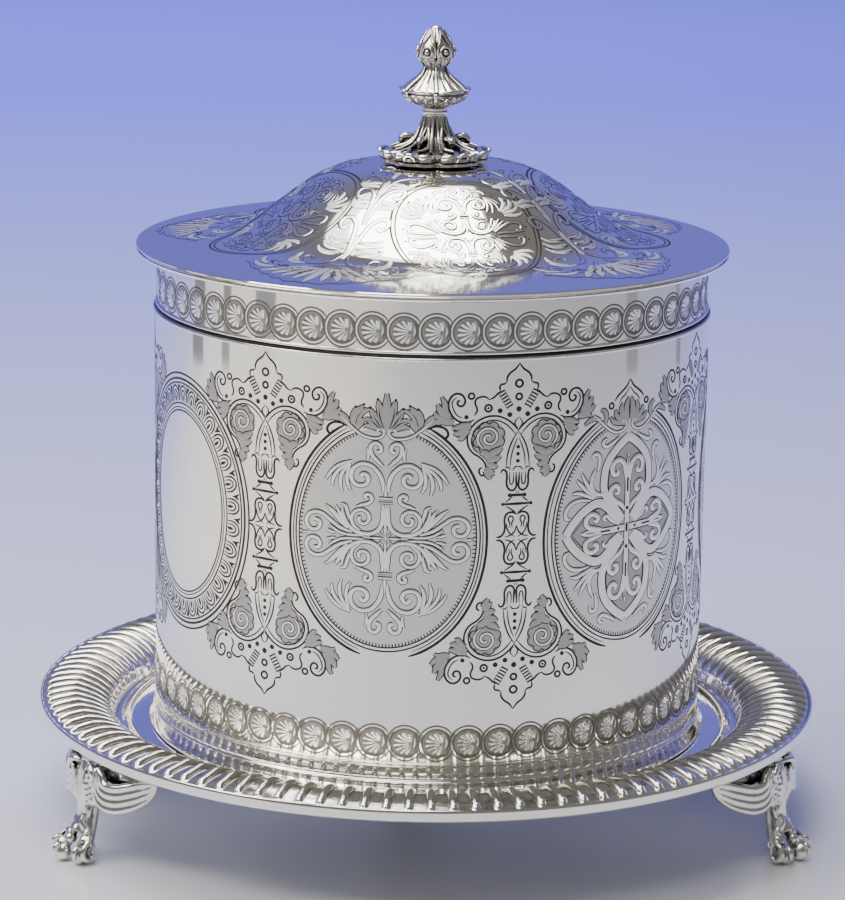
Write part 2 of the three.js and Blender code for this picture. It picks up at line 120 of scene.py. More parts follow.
FINIAL_FOOT = 16.7


# Modelling helpers


def mm(*lengths):
    return Vector(lengths) * MM


def deselect():
    if bpy.context.object and bpy.context.object.mode != "OBJECT":
        bpy.ops.object.mode_set(mode="OBJECT")
    bpy.ops.object.select_all(action="DESELECT")


def pick(*pieces):
    deselect()
    for piece in pieces:
        piece.select_set(True)
    bpy.context.view_layer.objects.active = pieces[0]


def named(name):
    piece = bpy.context.object
    piece.name = piece.data.name = name
    return piece


def open_mesh(piece, select="SELECT"):
    pick(piece)
    bpy.ops.object.mode_set(mode="EDIT")
    bpy.ops.mesh.select_mode(type="VERT")
    bpy.ops.mesh.select_all(action=select)


def close_mesh():
    bpy.ops.object.mode_set(mode="OBJECT")


def weld(piece):
    open_mesh(piece)
    bpy.ops.mesh.remove_doubles(threshold=WELD_GAP)
    bpy.ops.mesh.normals_make_consistent(inside=False)
    close_mesh()


def apply_modifier(piece, kind, **settings):
    pick(piece)
    modifier = piece.modifiers.new(kind.title(), kind)
    for name, value in settings.items():
        setattr(modifier, name, value)
    bpy.ops.object.modifier_apply(modifier=modifier.name)
    return piece


def join(name, pieces):
    pick(*pieces)
    if len(pieces) > 1:
        bpy.ops.object.join()
    return named(name)


def twin(piece, name):
    copy = piece.copy()
    copy.data = piece.data.copy()
    copy.name = copy.data.name = name
    bpy.context.scene.collection.objects.link(copy)
    return copy


def points_of(piece):
    flat = np.zeros(len(piece.data.vertices) * 3)
    piece.data.vertices.foreach_get("co", flat)
    return flat.reshape(-1, 3)


def set_points(piece, points):
    piece.data.vertices.foreach_set("co", points.ravel())
    piece.data.update()


def smooth_shade(piece, degrees=40):
    pick(piece)
    bpy.ops.object.shade_smooth_by_angle(angle=math.radians(degrees))
    return piece


def softened(corners, size, steps=3):
    """A closed outline with rounded corners, and a point near both ends of each straight."""
    outline = []
    for i, corner in enumerate(corners):
        here = np.array(corner, float)
        before = np.array(corners[i - 1], float) - here
        after = np.array(corners[(i + 1) % len(corners)], float) - here
        long_before, long_after = np.linalg.norm(before), np.linalg.norm(after)
        reach = min(size, long_before * 0.45, long_after * 0.45)
        start = here + before / long_before * reach
        end = here + after / long_after * reach
        if long_before > 6 * reach:
            outline.append(tuple(start + before / long_before * reach))
        for t in np.linspace(0, 1, steps):
            outline.append(tuple((1 - t) ** 2 * start + 2 * t * (1 - t) * here + t * t * end))
        if long_after > 6 * reach:
            outline.append(tuple(end + after / long_after * reach))
    return outline


def through(knots, per_span=10):
    """A smooth line through knots, as a list of points."""
    knots = [np.array(k, float) for k in knots]
    padded = [2 * knots[0] - knots[1], *knots, 2 * knots[-1] - knots[-2]]
    line = []
    for a, b, c, d in zip(padded, padded[1:], padded[2:], padded[3:]):
        bend, twist = 2 * a - 5 * b + 4 * c - d, 3 * b - a - 3 * c + d
        for t in np.linspace(0, 1, per_span, endpoint=False):
            line.append(0.5 * (2 * b + (c - a) * t + bend * t**2 + twist * t**3))
    return [tuple(p) for p in [*line, knots[-1]]]


def arch(start, start_slope, end, end_slope, steps):
    """A cubic from start to end that leaves and arrives at the given slopes."""
    third = (end[0] - start[0]) / 3
    a, d = np.array(start, float), np.array(end, float)
    b = a + np.array([third, start_slope * third])
    c = d - np.array([third, end_slope * third])
    return [
        tuple((1 - t) ** 3 * a + 3 * (1 - t) ** 2 * t * b + 3 * (1 - t) * t * t * c + t**3 * d)
        for t in np.linspace(0, 1, steps)
    ]


def traced(name, outline, place, closed=True):
    """Extrudes one vertex along an outline of (radius, height), which place turns into a vector."""
    deselect()
    bpy.ops.mesh.primitive_plane_add(size=MM, location=place(*outline[0]))
    piece = named(name)
    bpy.ops.object.transform_apply(location=True)
    open_mesh(piece)
    bpy.ops.mesh.merge(type="CENTER")
    for (radius, height), (next_radius, next_height) in zip(outline, outline[1:]):
        step = place(next_radius - radius, next_height - height)
        bpy.ops.mesh.extrude_region_move(TRANSFORM_OT_translate={"value": step})
    if closed:
        shape = bmesh.from_edit_mesh(piece.data)
        shape.verts.ensure_lookup_table()
        shape.verts[0].select_set(True)
        bpy.ops.mesh.edge_face_add()
    bpy.ops.mesh.select_all(action="SELECT")
    return piece


def lathe(name, outline, steps, closed=True):
    """Spins an outline of (radius, height) round the axis."""
    piece = traced(name, outline, lambda radius, height: mm(radius, 0, height), closed)
    bpy.ops.mesh.spin(
        steps=steps, angle=2 * math.pi, center=(0, 0, 0), axis=(0, 0, 1), use_auto_merge=True
    )
    close_mesh()
    weld(piece)
    return smooth_shade(piece, 32)


def piped(name, strokes, thickness, sides, smoothness):
    """Bars along smooth lines, each given as (places, width at each place, whether it is closed)."""
    deselect()
    line = bpy.data.curves.new(name, "CURVE")
    line.dimensions = "3D"
    line.twist_mode = "Z_UP"
    line.bevel_depth = thickness
    line.bevel_resolution = sides
    line.use_fill_caps = True
    line.resolution_u = smoothness
    for places, widths, closed in strokes:
        spline = line.splines.new("BEZIER")
        spline.bezier_points.add(len(places) - 1)
        spline.use_cyclic_u = closed
        for knot, place, width in zip(spline.bezier_points, places, widths):
            knot.co = mm(*place)
            knot.radius = width
            knot.handle_left_type = knot.handle_right_type = "AUTO"
    bars = bpy.data.objects.new(name, line)
    bpy.context.scene.collection.objects.link(bars)
    pick(bars)
    bpy.ops.object.convert(target="MESH")
    return named(name)


def rod(name, path, radii, sides):
    """A round bar that follows a path of points, with a radius at each."""
    return piped(name, [(path, radii, False)], MM, sides, 6)


def ball(name, place, size, segments, rings):
    deselect()
    bpy.ops.mesh.primitive_uv_sphere_add(
        segments=segments, ring_count=rings, radius=MM, location=mm(*place), scale=size
    )
    bpy.ops.object.transform_apply(location=True, rotation=True, scale=True)
    return named(name)


def cylinder(name, place, radius, length, sides, lying=False):
    """A bar with flat ends, upright or lying along the hinge."""
    deselect()
    bpy.ops.mesh.primitive_cylinder_add(
        vertices=sides, radius=radius * MM, depth=length * MM, location=mm(*place),
        rotation=(0, math.pi / 2 if lying else 0, 0))
    bpy.ops.object.transform_apply(location=True, rotation=True)
    return named(name)


def block(name, place, size, turn=0.0):
    """A box, with its middle and size in metres."""
    deselect()
    bpy.ops.mesh.primitive_cube_add(size=1, location=place, rotation=(0, 0, turn), scale=size)
    bpy.ops.object.transform_apply(location=True, rotation=True, scale=True)
    return named(name)


def spun_round(piece, count):
    """Copies a piece round the axis, evenly."""
    open_mesh(piece)
    bpy.ops.mesh.spin(
        steps=count, dupli=True, angle=2 * math.pi, center=(0, 0, 0), axis=(0, 0, 1)
    )
    close_mesh()


def turned_to(piece, degrees):
    pick(piece)
    piece.data.transform(Matrix.Rotation(math.radians(degrees), 4, "Z"))
    return piece


def seat(piece, body, finish=None, solid=None):
    """Moves a piece from the drum's own axis to its place, and says what it stands for."""
    pick(piece)
    piece.location = mm(0, AXIS_Y, 0)
    bpy.ops.object.transform_apply(location=True, rotation=True, scale=True)
    if finish:
        piece.data.materials.clear()
        piece.data.materials.append(finish)
    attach(piece, body)
    if solid:
        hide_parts(solid)


# Shader helpers


def feed(made, inputs):
    """Sets inputs of a node, each to a value or to the output that feeds it."""
    for name, value in inputs.items():
        if isinstance(value, bpy.types.NodeSocket):
            made.id_data.links.new(value, made.inputs[name])
        else:
            made.inputs[name].default_value = value


def node(tree, kind, place, inputs=None, **settings):
    made = tree.nodes.new(kind)
    made.location = place
    for name, value in settings.items():
        setattr(made, name, value)
    feed(made, inputs or {})
    return made


def ramp(tree, place, value, start, end, low=0.0, high=1.0):
    """Low where the value is at the start, high where it is at the end."""
    return node(tree, "ShaderNodeMapRange", place, {
        "Value": value, "From Min": start, "From Max": end, "To Min": low, "To Max": high,
    }).outputs["Result"]


def product(tree, place, one, other):
    return node(tree, "ShaderNodeMath", place, {0: one, 1: other},
                operation="MULTIPLY").outputs["Value"]


def blend(tree, place, share, one, other, kind="RGBA"):
    """The first where the share is 0, the second where it is 1."""
    return node(tree, "ShaderNodeMix", place, {"Factor": share, "A": one, "B": other},
                data_type=kind).outputs["Result"]


def new_finish(name):
    """A material, with its tree and shader."""
    finish = bpy.data.materials.new(name)
    finish.use_nodes = True
    return finish, finish.node_tree, finish.node_tree.nodes["Principled BSDF"]


# Camera, floor and light


def set_camera():
    camera = bpy.data.cameras.new("photo_camera")
    camera.sensor_width = 36
    camera.lens = 138.59
    holder = bpy.data.objects.new("photo_camera", camera)
    bpy.context.scene.collection.objects.link(holder)
    holder.location = mm(-43.654, -1015.642, 341.414)
    holder.rotation_euler = Euler([math.radians(a) for a in (76.9754, -0.79825, -2.16535)])
    bpy.context.scene.camera = holder


def area_light(name, place, aim, size, power, colour):
    lamp = bpy.data.lights.new(name, "AREA")
    lamp.shape = "RECTANGLE"
    lamp.size, lamp.size_y = size
    lamp.energy = power
    lamp.color = colour
    holder = bpy.data.objects.new(name, lamp)
    bpy.context.scene.collection.objects.link(holder)
    holder.location = place
    holder.rotation_euler = (Vector(aim) - Vector(place)).to_track_quat("-Z", "Y").to_euler()
    return holder


def set_world():
    world = bpy.data.worlds.new("studio")
    bpy.context.scene.world = world
    world.use_nodes = True
    tree = world.node_tree
    tree.nodes.clear()
    place = node(tree, "ShaderNodeTexCoord", (-400, 0)).outputs["Generated"]
    parts = node(tree, "ShaderNodeSeparateXYZ", (-200, 0), {"Vector": place}).outputs
    behind = ramp(tree, (0, 150), parts["Y"], 0.05, 0.85)
    low = ramp(tree, (0, -150), parts["Z"], 0.35, 0.8, 1.0, 0.0)
    share = product(tree, (200, 0), behind, low)
    tint = blend(tree, (450, 0), share, (0.2, 0.196, 0.188, 1), (0.19, 0.19, 0.78, 1))
    sky = node(tree, "ShaderNodeBackground", (700, 0), {"Color": tint, "Strength": 0.9})
    node(tree, "ShaderNodeOutputWorld", (900, 0), {"Surface": sky.outputs["Background"]})


def set_floor():
    deselect()
    bpy.ops.mesh.primitive_circle_add(vertices=96, radius=6, fill_type="NGON")
    floor = named("floor")
    finish, tree, shader = new_finish("pale_floor")
    place = node(tree, "ShaderNodeTexCoord", (-900, 0)).outputs["Object"]
    parts = node(tree, "ShaderNodeSeparateXYZ", (-700, 0), {"Vector": place}).outputs
    # painted light: the floor's tint runs from pale grey near the set to strong blue far behind it, a
    # painted gradient of the backdrop's light
    far = ramp(tree, (-500, 0), parts["Y"], -0.05, 1.7)
    tint = blend(tree, (-250, 0), far, (0.66, 0.67, 0.71, 1), (0.23, 0.235, 1.0, 1))
    # a painted pool of light: a warmer, lighter stretch out of the picture at the left, for the drum to
    # mirror
    left = ramp(tree, (-500, -300), parts["X"], -0.17, -0.38)
    fore = ramp(tree, (-500, -600), parts["Y"], 0.35, 0.1)
    share = product(tree, (-250, -300), left, fore)
    colour = blend(tree, (-50, 0), share, tint, (0.88, 0.85, 0.765, 1))
    feed(shader, {"Base Color": colour, "Roughness": 0.22})
    floor.data.materials.append(finish)


def set_lights():
    area_light("overhead_box", (-0.2, 0.22, 1.35), (-0.1, 0, 0.1), (1.1, 0.62), 17, (1, 0.98, 0.94))
    area_light("left_box", (-0.95, -0.3, 1.05), (-0.42, -0.2, 0), (0.7, 0.6), 10, (1, 0.97, 0.92))
    area_light("front_box", (-0.35, -1.0, 1.7), (-0.16, -0.75, 0), (0.9, 0.7), 14, (1, 0.975, 0.93))
    wash = area_light("back_wash", (-0.4, 2.1, 1.6), (-0.35, 1.7, 0), (2.6, 0.9), 78,
                      (0.5, 0.58, 1.0))
    wash.visible_glossy = False
    gleam = area_light("dome_box", (-0.19, 0.36, 1.42), (-0.1, 0, 0.15), (1.15, 0.84), 10,
                       (1, 0.985, 0.95))
    gleam.visible_diffuse = False


def set_cards():
    """Dark cards beside the set, out of the picture, for the polished sides to mirror."""
    card_paint, _, shader = new_finish("dark_card")
    feed(shader, {"Base Color": (0.26, 0.26, 0.27, 1)})
    places = ((-0.708, 0.232, 0.1), (-0.757, 0.005, 0.06), (-0.78, -0.275, 0.14),
              (0.753, -0.096, 0.08), (0.675, 0.3, 0.045))
    for i, (x, y, width) in enumerate(places):
        card = block(f"card_{i + 1}", (x, y, 0.045), (width, 0.004, 0.09),
                     math.atan2(y, x) + math.pi / 2)
        card.data.materials.append(card_paint)
        card.visible_camera = False
        card.visible_diffuse = False
        card.visible_shadow = False


# Finishes


def new_group(name, inputs, outputs):
    """A node group with numbers going in, by name, and sockets of the named kinds coming out."""
    group = bpy.data.node_groups.new(name, "ShaderNodeTree")
    for label, value in inputs.items():
        socket = group.interface.new_socket(label, in_out="INPUT", socket_type="NodeSocketFloat")
        socket.default_value = value
    for label, kind in outputs.items():
        group.interface.new_socket(label, in_out="OUTPUT", socket_type=kind)
    return group, node(group, "NodeGroupInput", (-900, 0)).outputs


def tarnish_and_shade_group():
    """Dark in hollows and corners, broken up by a soft cloud: tarnish where polish doesn't reach, and
    painted shade.
    """
    group, given = new_group("tarnish_and_shade_in_hollows", {"Depth": 0.002, "Amount": 1.0, "Cloud Scale": 60.0},
                             {"Mask": "NodeSocketFloat"})
    place = node(group, "ShaderNodeTexCoord", (-700, -200)).outputs["Object"]
    cloud = node(group, "ShaderNodeTexNoise", (-500, -200),
                 {"Vector": place, "Scale": given["Cloud Scale"], "Detail": 4})
    # ambient occlusion: darkens where the surface is shut in, painting shade there as well as tarnish
    hollow = node(group, "ShaderNodeAmbientOcclusion", (-500, 150), {"Distance": given["Depth"]},
                  samples=8, only_local=True)
    shut = ramp(group, (-250, 150), hollow.outputs["AO"], 0.98, 0.5)
    uneven = ramp(group, (-250, -200), cloud.outputs["Fac"], 0.3, 0.7, 0.65, 1.0)
    both = product(group, (0, 0), shut, uneven)
    tarnish_and_shade_mask = node(group, "ShaderNodeMath", (250, 0), {0: both, 1: given["Amount"]},
                operation="MULTIPLY", use_clamp=True)
    node(group, "NodeGroupOutput", (900, 0), {"Mask": tarnish_and_shade_mask.outputs["Value"]})
    return group


def polish_group():
    """Fine hairlines from years of polishing, and a faint unevenness of the sheet."""
    group, given = new_group(
        "hand_polish", {"Roughness": 0.08, "Hairlines": 0.06, "Scale": 220.0, "Bump": 0.05},
        {"Roughness": "NodeSocketFloat", "Normal": "NodeSocketVector"})
    place = node(group, "ShaderNodeTexCoord", (-900, -200)).outputs["Object"]
    streak = node(group, "ShaderNodeMapping", (-700, -200),
                  {"Vector": place, "Scale": (1, 1, 9), "Rotation": (0.3, 0.2, 0.5)})
    lines = node(group, "ShaderNodeTexNoise", (-500, -200), {
        "Vector": streak.outputs["Vector"], "Scale": given["Scale"], "Detail": 6, "Roughness": 0.7})
    worn = node(group, "ShaderNodeTexNoise", (-500, 150),
                {"Vector": place, "Scale": 26, "Detail": 3}).outputs["Fac"]
    spread = product(group, (-250, 0), lines.outputs["Fac"], worn)
    rough = node(group, "ShaderNodeMath", (-50, 0),
                 {0: spread, 1: given["Hairlines"], 2: given["Roughness"]}, operation="MULTIPLY_ADD")
    bump = node(group, "ShaderNodeBump", (300, -200),
                {"Height": worn, "Strength": given["Bump"], "Distance": 0.0001})
    node(group, "NodeGroupOutput", (900, 0),
         {"Roughness": rough.outputs["Value"], "Normal": bump.outputs["Normal"]})
    return group


def silver(name, groups, bright, hollow_tarnish_and_shade, depth, amount, roughness, dull_roughness=0.42, bump=0.05,
           cloud=60.0):
    """Polished silver plate that darkens in hollows: tarnish where a cloth can't reach, and painted
    shade.
    """
    finish, tree, shader = new_finish(name)
    tarnish_and_shade_mask = node(tree, "ShaderNodeGroup", (-900, 200), {
        "Depth": depth * MM, "Amount": amount, "Cloud Scale": cloud,
    }, node_tree=groups["tarnish_and_shade"]).outputs["Mask"]
    polish = node(tree, "ShaderNodeGroup", (-900, -200), {
        "Roughness": roughness, "Bump": bump,
    }, node_tree=groups["polish"]).outputs
    feed(shader, {
        "Base Color": blend(tree, (-400, 200), tarnish_and_shade_mask, (*bright, 1), (*hollow_tarnish_and_shade, 1)),
        "Roughness": blend(tree, (-400, -100), tarnish_and_shade_mask, polish["Roughness"], dull_roughness, "FLOAT"),
        "Metallic": 1,
        "Normal": polish["Normal"],
    })
    return finish


def matted(name, groups, bright, hollow_tarnish_and_shade, roughness):
    """Ground punched all over with a fine matting tool."""
    finish = silver(name, groups, bright, hollow_tarnish_and_shade, 0.6, 0.5, roughness, 0.5)
    tree = finish.node_tree
    place = node(tree, "ShaderNodeTexCoord", (-1300, -500)).outputs["Object"]
    dots = node(tree, "ShaderNodeTexVoronoi", (-1100, -500),
                {"Vector": place, "Scale": 1000 / MATTING_PITCH})
    relief = node(tree, "ShaderNodeBump", (-300, -500),
                  {"Height": dots.outputs["Distance"], "Strength": 0.55, "Distance": 0.0001})
    feed(tree.nodes["Principled BSDF"], {"Normal": relief.outputs["Normal"]})
    return finish


def make_finishes():
    groups = {"tarnish_and_shade": tarnish_and_shade_group(), "polish": polish_group()}
    bright, warm, dark = (0.95, 0.93, 0.87), (0.92, 0.895, 0.83), (0.1, 0.088, 0.07)
    return {
        # the near-black dull colours of the border and cast finishes are tarnish in their hollows and
        # painted shade in the gaps between gadroons, toes and leaves
        "polished": silver("polished_silver", groups, bright, dark, 1.2, 0.55, 0.05, bump=0.03),
        "border": silver("gadroon_silver", groups, bright, (0.05, 0.044, 0.036), 2.2, 1.15, 0.07),
        "cast": silver("cast_silver", groups, warm, (0.04, 0.035, 0.028), 3.0, 1.15, 0.13,
                       cloud=140.0, bump=0.25),
        "raised": silver("raised_ornament", groups, bright, dark, 0.5, 0.6, 0.12),
        # engraved lines: dark as tarnish in the cut and as painted shade of a groove; the same dark is
        # painted as shade between the beads and in the gap at the drum's mouth
        "cut": silver("engraved_line_tarnish_and_painted_shade", groups, (0.05, 0.045, 0.038), (0.02, 0.018, 0.015), 0.4, 0.6,
                      0.4),
        # a paler dark for worn engraved lines, and painted shadow in the gap inside the tray's band
        "worn": silver("worn_line_tarnish_and_painted_shade", groups, (0.2, 0.185, 0.155), (0.05, 0.045, 0.04), 0.4, 0.6, 0.35),
        "matted": matted("matted_ground", groups, (0.8, 0.785, 0.745), dark, 0.32),
        "shaded": matted("shaded_ground", groups, (0.5, 0.485, 0.455), dark, 0.36),
        "recess": matted("recessed_ground", groups, (0.38, 0.365, 0.325), dark, 0.42),
        "inside": silver("inner_plate", groups, (0.86, 0.85, 0.82), (0.2, 0.18, 0.15), 3.0, 0.5,
                         0.2),
        "pin": silver("pin_steel", groups, (0.6, 0.59, 0.57), dark, 0.6, 0.6, 0.28),
    }


# Stand


def border_line(share):
    """Height of the fields between the gadroons, from the inner to the outer end."""
    knots = [(0, -0.75), (0.04, -0.32), (0.1, 0.14), (0.28, 0.66), (0.54, 1.0), (0.8, 0.92),
             (0.96, 0.74), (1, 0.67)]
    line = np.array(through(knots))
    return BORDER_HEIGHT + BORDER_RISE * np.interp(share, line[:, 0], line[:, 1])


def border_row(share, drop=0.0):
    radius = GADROON_INNER + (GADROON_OUTER - GADROON_INNER) * share
    return radius, border_line(share) - drop


def make_tray_pan():
    places = np.array([0, 0.14, 0.26, 0.285, 0.31, 0.35, 0.42, 0.5, 0.58, 0.65, 0.69, 0.715, 0.74,
                       0.86, 1.0])
    border = np.concatenate([np.linspace(0, 0.096, 9), [0.115], np.linspace(0.14, 0.86, 15),
                             [0.9, 0.925, 0.945, 0.96, 0.972, 0.982, 0.991, 1.0]])
    # rows of (radius, height, share of the way across the lobes, or -1 away from them)
    rows = [(r, z, -1.0) for r, z in [
        (0.0, WELL_TOP), (40, WELL_TOP), (84.9, WELL_TOP), (88.0, WELL_TOP), (91.6, WELL_TOP),
        (92.2, WELL_TOP - 0.25), (92.8, WELL_TOP - 0.25), (93.4, WELL_TOP)]]
    rows += [(*border_row(s), s) for s in border]
    rows += [(*border_row(s, BORDER_THICKNESS), -1.0) for s in (1.0, 0.8, 0.54, 0.28, 0.12)]
    rows += [(GADROON_INNER, WELL_BOTTOM + 0.3, -1.0)]
    rows += [(r, WELL_BOTTOM, -1.0) for r in (91, 84, 40, 0.0)]
    deselect()
    bpy.ops.mesh.primitive_grid_add(
        x_subdivisions=len(rows) - 1, y_subdivisions=len(places) - 1, size=2
    )
    pan = named("tray_pan_gadrooned")
    points = points_of(pan)
    row = np.rint((points[:, 0] + 1) / 2 * (len(rows) - 1)).astype(int)
    column = np.rint((points[:, 1] + 1) / 2 * (len(places) - 1)).astype(int)
    radius, height, share = np.array(rows)[row].T
    place = places[column]
    beside = np.abs(place - 0.5) / GADROON_HALF_SHARE
    beyond = np.clip((0.05 - share) / 0.05, 0, 1) + np.clip((share - 0.9) / 0.085, 0, 1)
    dome = np.sqrt(np.clip(1 - beside**2 - beyond**2, 0, 1))
    lift = np.where(share >= 0, GADROON_HEIGHT * dome, 0)
    angle = place * 2 * math.pi / GADROON_COUNT
    set_points(pan, np.stack([radius * np.sin(angle), -radius * np.cos(angle), height + lift], 1) * MM)
    spun_round(pan, GADROON_COUNT)
    weld(pan)
    return smooth_shade(pan, 42)


def make_tray_band():
    inner = GADROON_OUTER + 0.3
    band = lathe("tray_band_turned", softened(
        [(inner, 30.5), (116.4, 30.5), (RIM_RADIUS, 31.1), (RIM_RADIUS, 33.4), (116.7, RIM_TOP),
         (116.3, RIM_TOP), (inner, 33.8)], 0.25), 256)
    # a dark ring filling the gap between the gadroons and the band: painted shadow of the gap
    painted_gap_shadow = lathe("tray_border_painted_gap_shadow", softened(
        [(inner - 0.45, 32.9), (inner + 0.1, 32.9), (inner + 0.1, 33.75), (inner - 0.45, 33.6)],
        0.08, 2), 256)
    return band, painted_gap_shadow


def make_bead_ring(finishes):
    inner, outer = BEAD_RADIUS - 0.75, BEAD_RADIUS + 0.75
    wire = lathe("bead_wire", softened(
        [(inner, WELL_TOP), (outer, WELL_TOP), (outer - 0.1, WELL_TOP + 0.3),
         (inner + 0.1, WELL_TOP + 0.3)], 0.1, 2), 192)
    bead = ball("bead", (0, -BEAD_RADIUS, WELL_TOP + 0.35), (0.42, 0.8, 0.75), 8, 6)
    # the wire under the beads is painted dark: tarnish and painted shade between the beads
    wire.data.materials.append(finishes["cut"])
    bead.data.materials.append(finishes["border"])
    spun_round(bead, BEAD_COUNT)
    return join("tray_beaded_wire", [wire, bead])


def wing_face(side_place):
    """How far out the face of the wing stands at a sideways place."""
    places = np.array([0, 0.27, 0.48, 0.68, 0.86, 0.96, 1.0]) * WING_SPAN
    curls = np.array([0, 0, 0.05, 0.2, 0.5, 0.78, 1.0]) * WING_CURL
    return RIM_RADIUS - np.interp(abs(side_place), places, curls)


def make_foot():
    """One lion's paw with shell-like wings, sculpted facing the front."""
    parts = []

    def limb(path, radii, sides=3):
        parts.append(rod("limb", [(t, -u, z) for u, t, z in path], radii, sides))

    def knob(name, place, size):
        parts.append(ball(name, (place[1], -place[0], place[2]), size, 18, 12))

    # shin, and the tendon that stands free of it at the back
    limb([(113.4, 0, 28.8), (114.6, 0, 25.0), (115.3, 0, 20.5), (115.9, 0, 16.0), (116.1, 0, 12.6),
          (116.9, 0, 10.0), (118.0, 0, 8.0)], [3.2, 3.0, 2.7, 2.2, 2.15, 2.7, 3.1], 4)
    limb([(111.6, 0, 28.8), (111.9, 0, 23.0), (112.3, 0, 18.0), (112.9, 0, 13.0), (114.0, 0, 8.0),
          (115.4, 0, 4.4)], [3.4, 3.0, 1.7, 1.25, 1.5, 2.2], 4)
    knob("pad", (115.6, 0, 2.8), (3.2, 2.7, 2.7))
    # three toes, each a ball under a knuckle, with a nail between them
    for place, reach, turn in ((0.0, 122.9, 0.0), (5.35, 120.2, 0.42), (-5.35, 120.2, -0.42)):
        def along(back, height, place=place, reach=reach, turn=turn):
            return (reach - back * math.cos(turn), place - back * math.sin(turn), height)

        knob("toe", along(0, 2.62), (1.95, 2.3, 2.58))
        knob("knuckle", along(2.3, 6.4), (1.65, 1.9, 1.7))
        limb([along(-1.4, 5.3), along(-2.6, 4.6), along(-3.0, 3.0), along(-2.7, 1.6)],
             [0.85, 0.8, 0.65, 0.3])
        limb([(116.8, place * 0.2, 13.6), (117.9, place * 0.38, 11.0), along(3.4, 8.6),
              along(1.8, 8.2)], [0.75, 1.0, 1.05, 0.85])
    for side in (-1, 1):
        def wing(path, radii, side=side):
            limb([(u, side * t, z) for u, t, z in path], radii)

        # curl on the outer face of each side toe
        wing([(116.6, 5.0, 7.6), (118.6, 6.7, 6.4), (120.3, 7.4, 4.8), (120.6, 7.6, 2.9),
              (119.3, 7.4, 1.5), (117.6, 6.9, 1.7), (116.9, 6.6, 3.1), (117.6, 6.8, 4.3)],
             [0.6, 0.75, 0.8, 0.8, 0.75, 0.65, 0.6, 0.45])
        # lock of hair beside the shin
        wing([(115.0, 2.7, 17.0), (115.6, 2.5, 14.6), (116.2, 2.5, 12.4)], [0.35, 0.7, 0.45])
        # ridges of the scoop, each a hammock hung between the shin and the wing tip
        for k in range(4):
            sunk, low = 1.0 - 0.2 * k, 18.0 + 2.15 * k
            hung = ((5.4 + 0.5 * k, 6.2), (7.0 + 0.6 * k, 2.4), (10.2, 0.3), (14.2, -0.15),
                    (17.8, 0.9), (20.4, 2.6 - 0.2 * k), (22.0, 5.2 - 0.8 * k),
                    (22.6 - 0.25 * k, 9.4 - 1.9 * k))
            wing([(wing_face(t) - 1.9 + sunk * math.sin(math.pi * min(1, t / 24)), t,
                   min(28.6, low + rise)) for t, rise in hung],
                 [0.9, 1.15, 1.3, 1.35, 1.3, 1.15, 1.0, 0.8])
        # floor of the scoop behind the ridges, its corner at the shin, and the bar under the rim
        wing([(113.0, 3.0, 20.4), (113.0, 8.0, 20.6), (112.4, 13.0, 21.2), (110.2, 18.0, 23.2),
              (107.6, 21.0, 26.0)], [2.6, 2.3, 2.0, 1.6, 1.0])
        wing([(115.6, 2.4, 17.6), (115.6, 5.6, 18.4), (115.2, 9.4, 18.4)], [1.2, 1.7, 1.1])
        wing([(108.6, 2.0, 25.6), (108.6, 9.0, 25.6), (107.6, 15.0, 26.2), (106.2, 20.4, 27.2)],
             [3.4, 3.2, 2.8, 1.8])
        # scroll at the top of the shin, with a beaded leaf and a ridge below it
        wing([(116.0, 2.8, 28.4), (116.8, 4.6, 28.6), (117.1, 6.6, 27.6), (117.0, 6.9, 25.7),
              (117.0, 5.4, 24.9), (117.2, 4.5, 26.1), (117.4, 5.5, 26.8)],
             [0.8, 0.95, 1.0, 0.9, 0.8, 0.7, 0.5])
        for row in range(3):
            for j in range(5 - row):
                place = (116.9 - 0.35 * row, side * (3.5 + 1.5 * row), 17.6 + 1.75 * j + 0.8 * row)
                knob("leaf_bead", place, (0.82, 0.75, 0.85))
        wing([(116.6, 2.3, 27.0), (117.5, 2.5, 22.6), (117.3, 2.2, 18.6), (116.7, 1.7, 15.4)],
             [0.5, 0.85, 0.85, 0.5])
    knob("seat", (108.6, 0, 27.2), (4.2, 6.0, 2.8))
    foot = join("foot", parts)
    apply_modifier(foot, "REMESH", mode="VOXEL", voxel_size=0.3 * MM)
    apply_modifier(foot, "SMOOTH", factor=0.5, iterations=1)
    # flat under the toes, and level under the rim
    for height, below in ((FOOT_SOLE, True), (FOOT_TOP, False)):
        open_mesh(foot)
        bpy.ops.mesh.bisect(
            plane_co=mm(0, 0, height), plane_no=(0, 0, 1), use_fill=True,
            clear_inner=below, clear_outer=not below,
        )
        close_mesh()
    apply_modifier(foot, "DECIMATE", ratio=0.35)
    return smooth_shade(foot, 75)


# Drum and lid


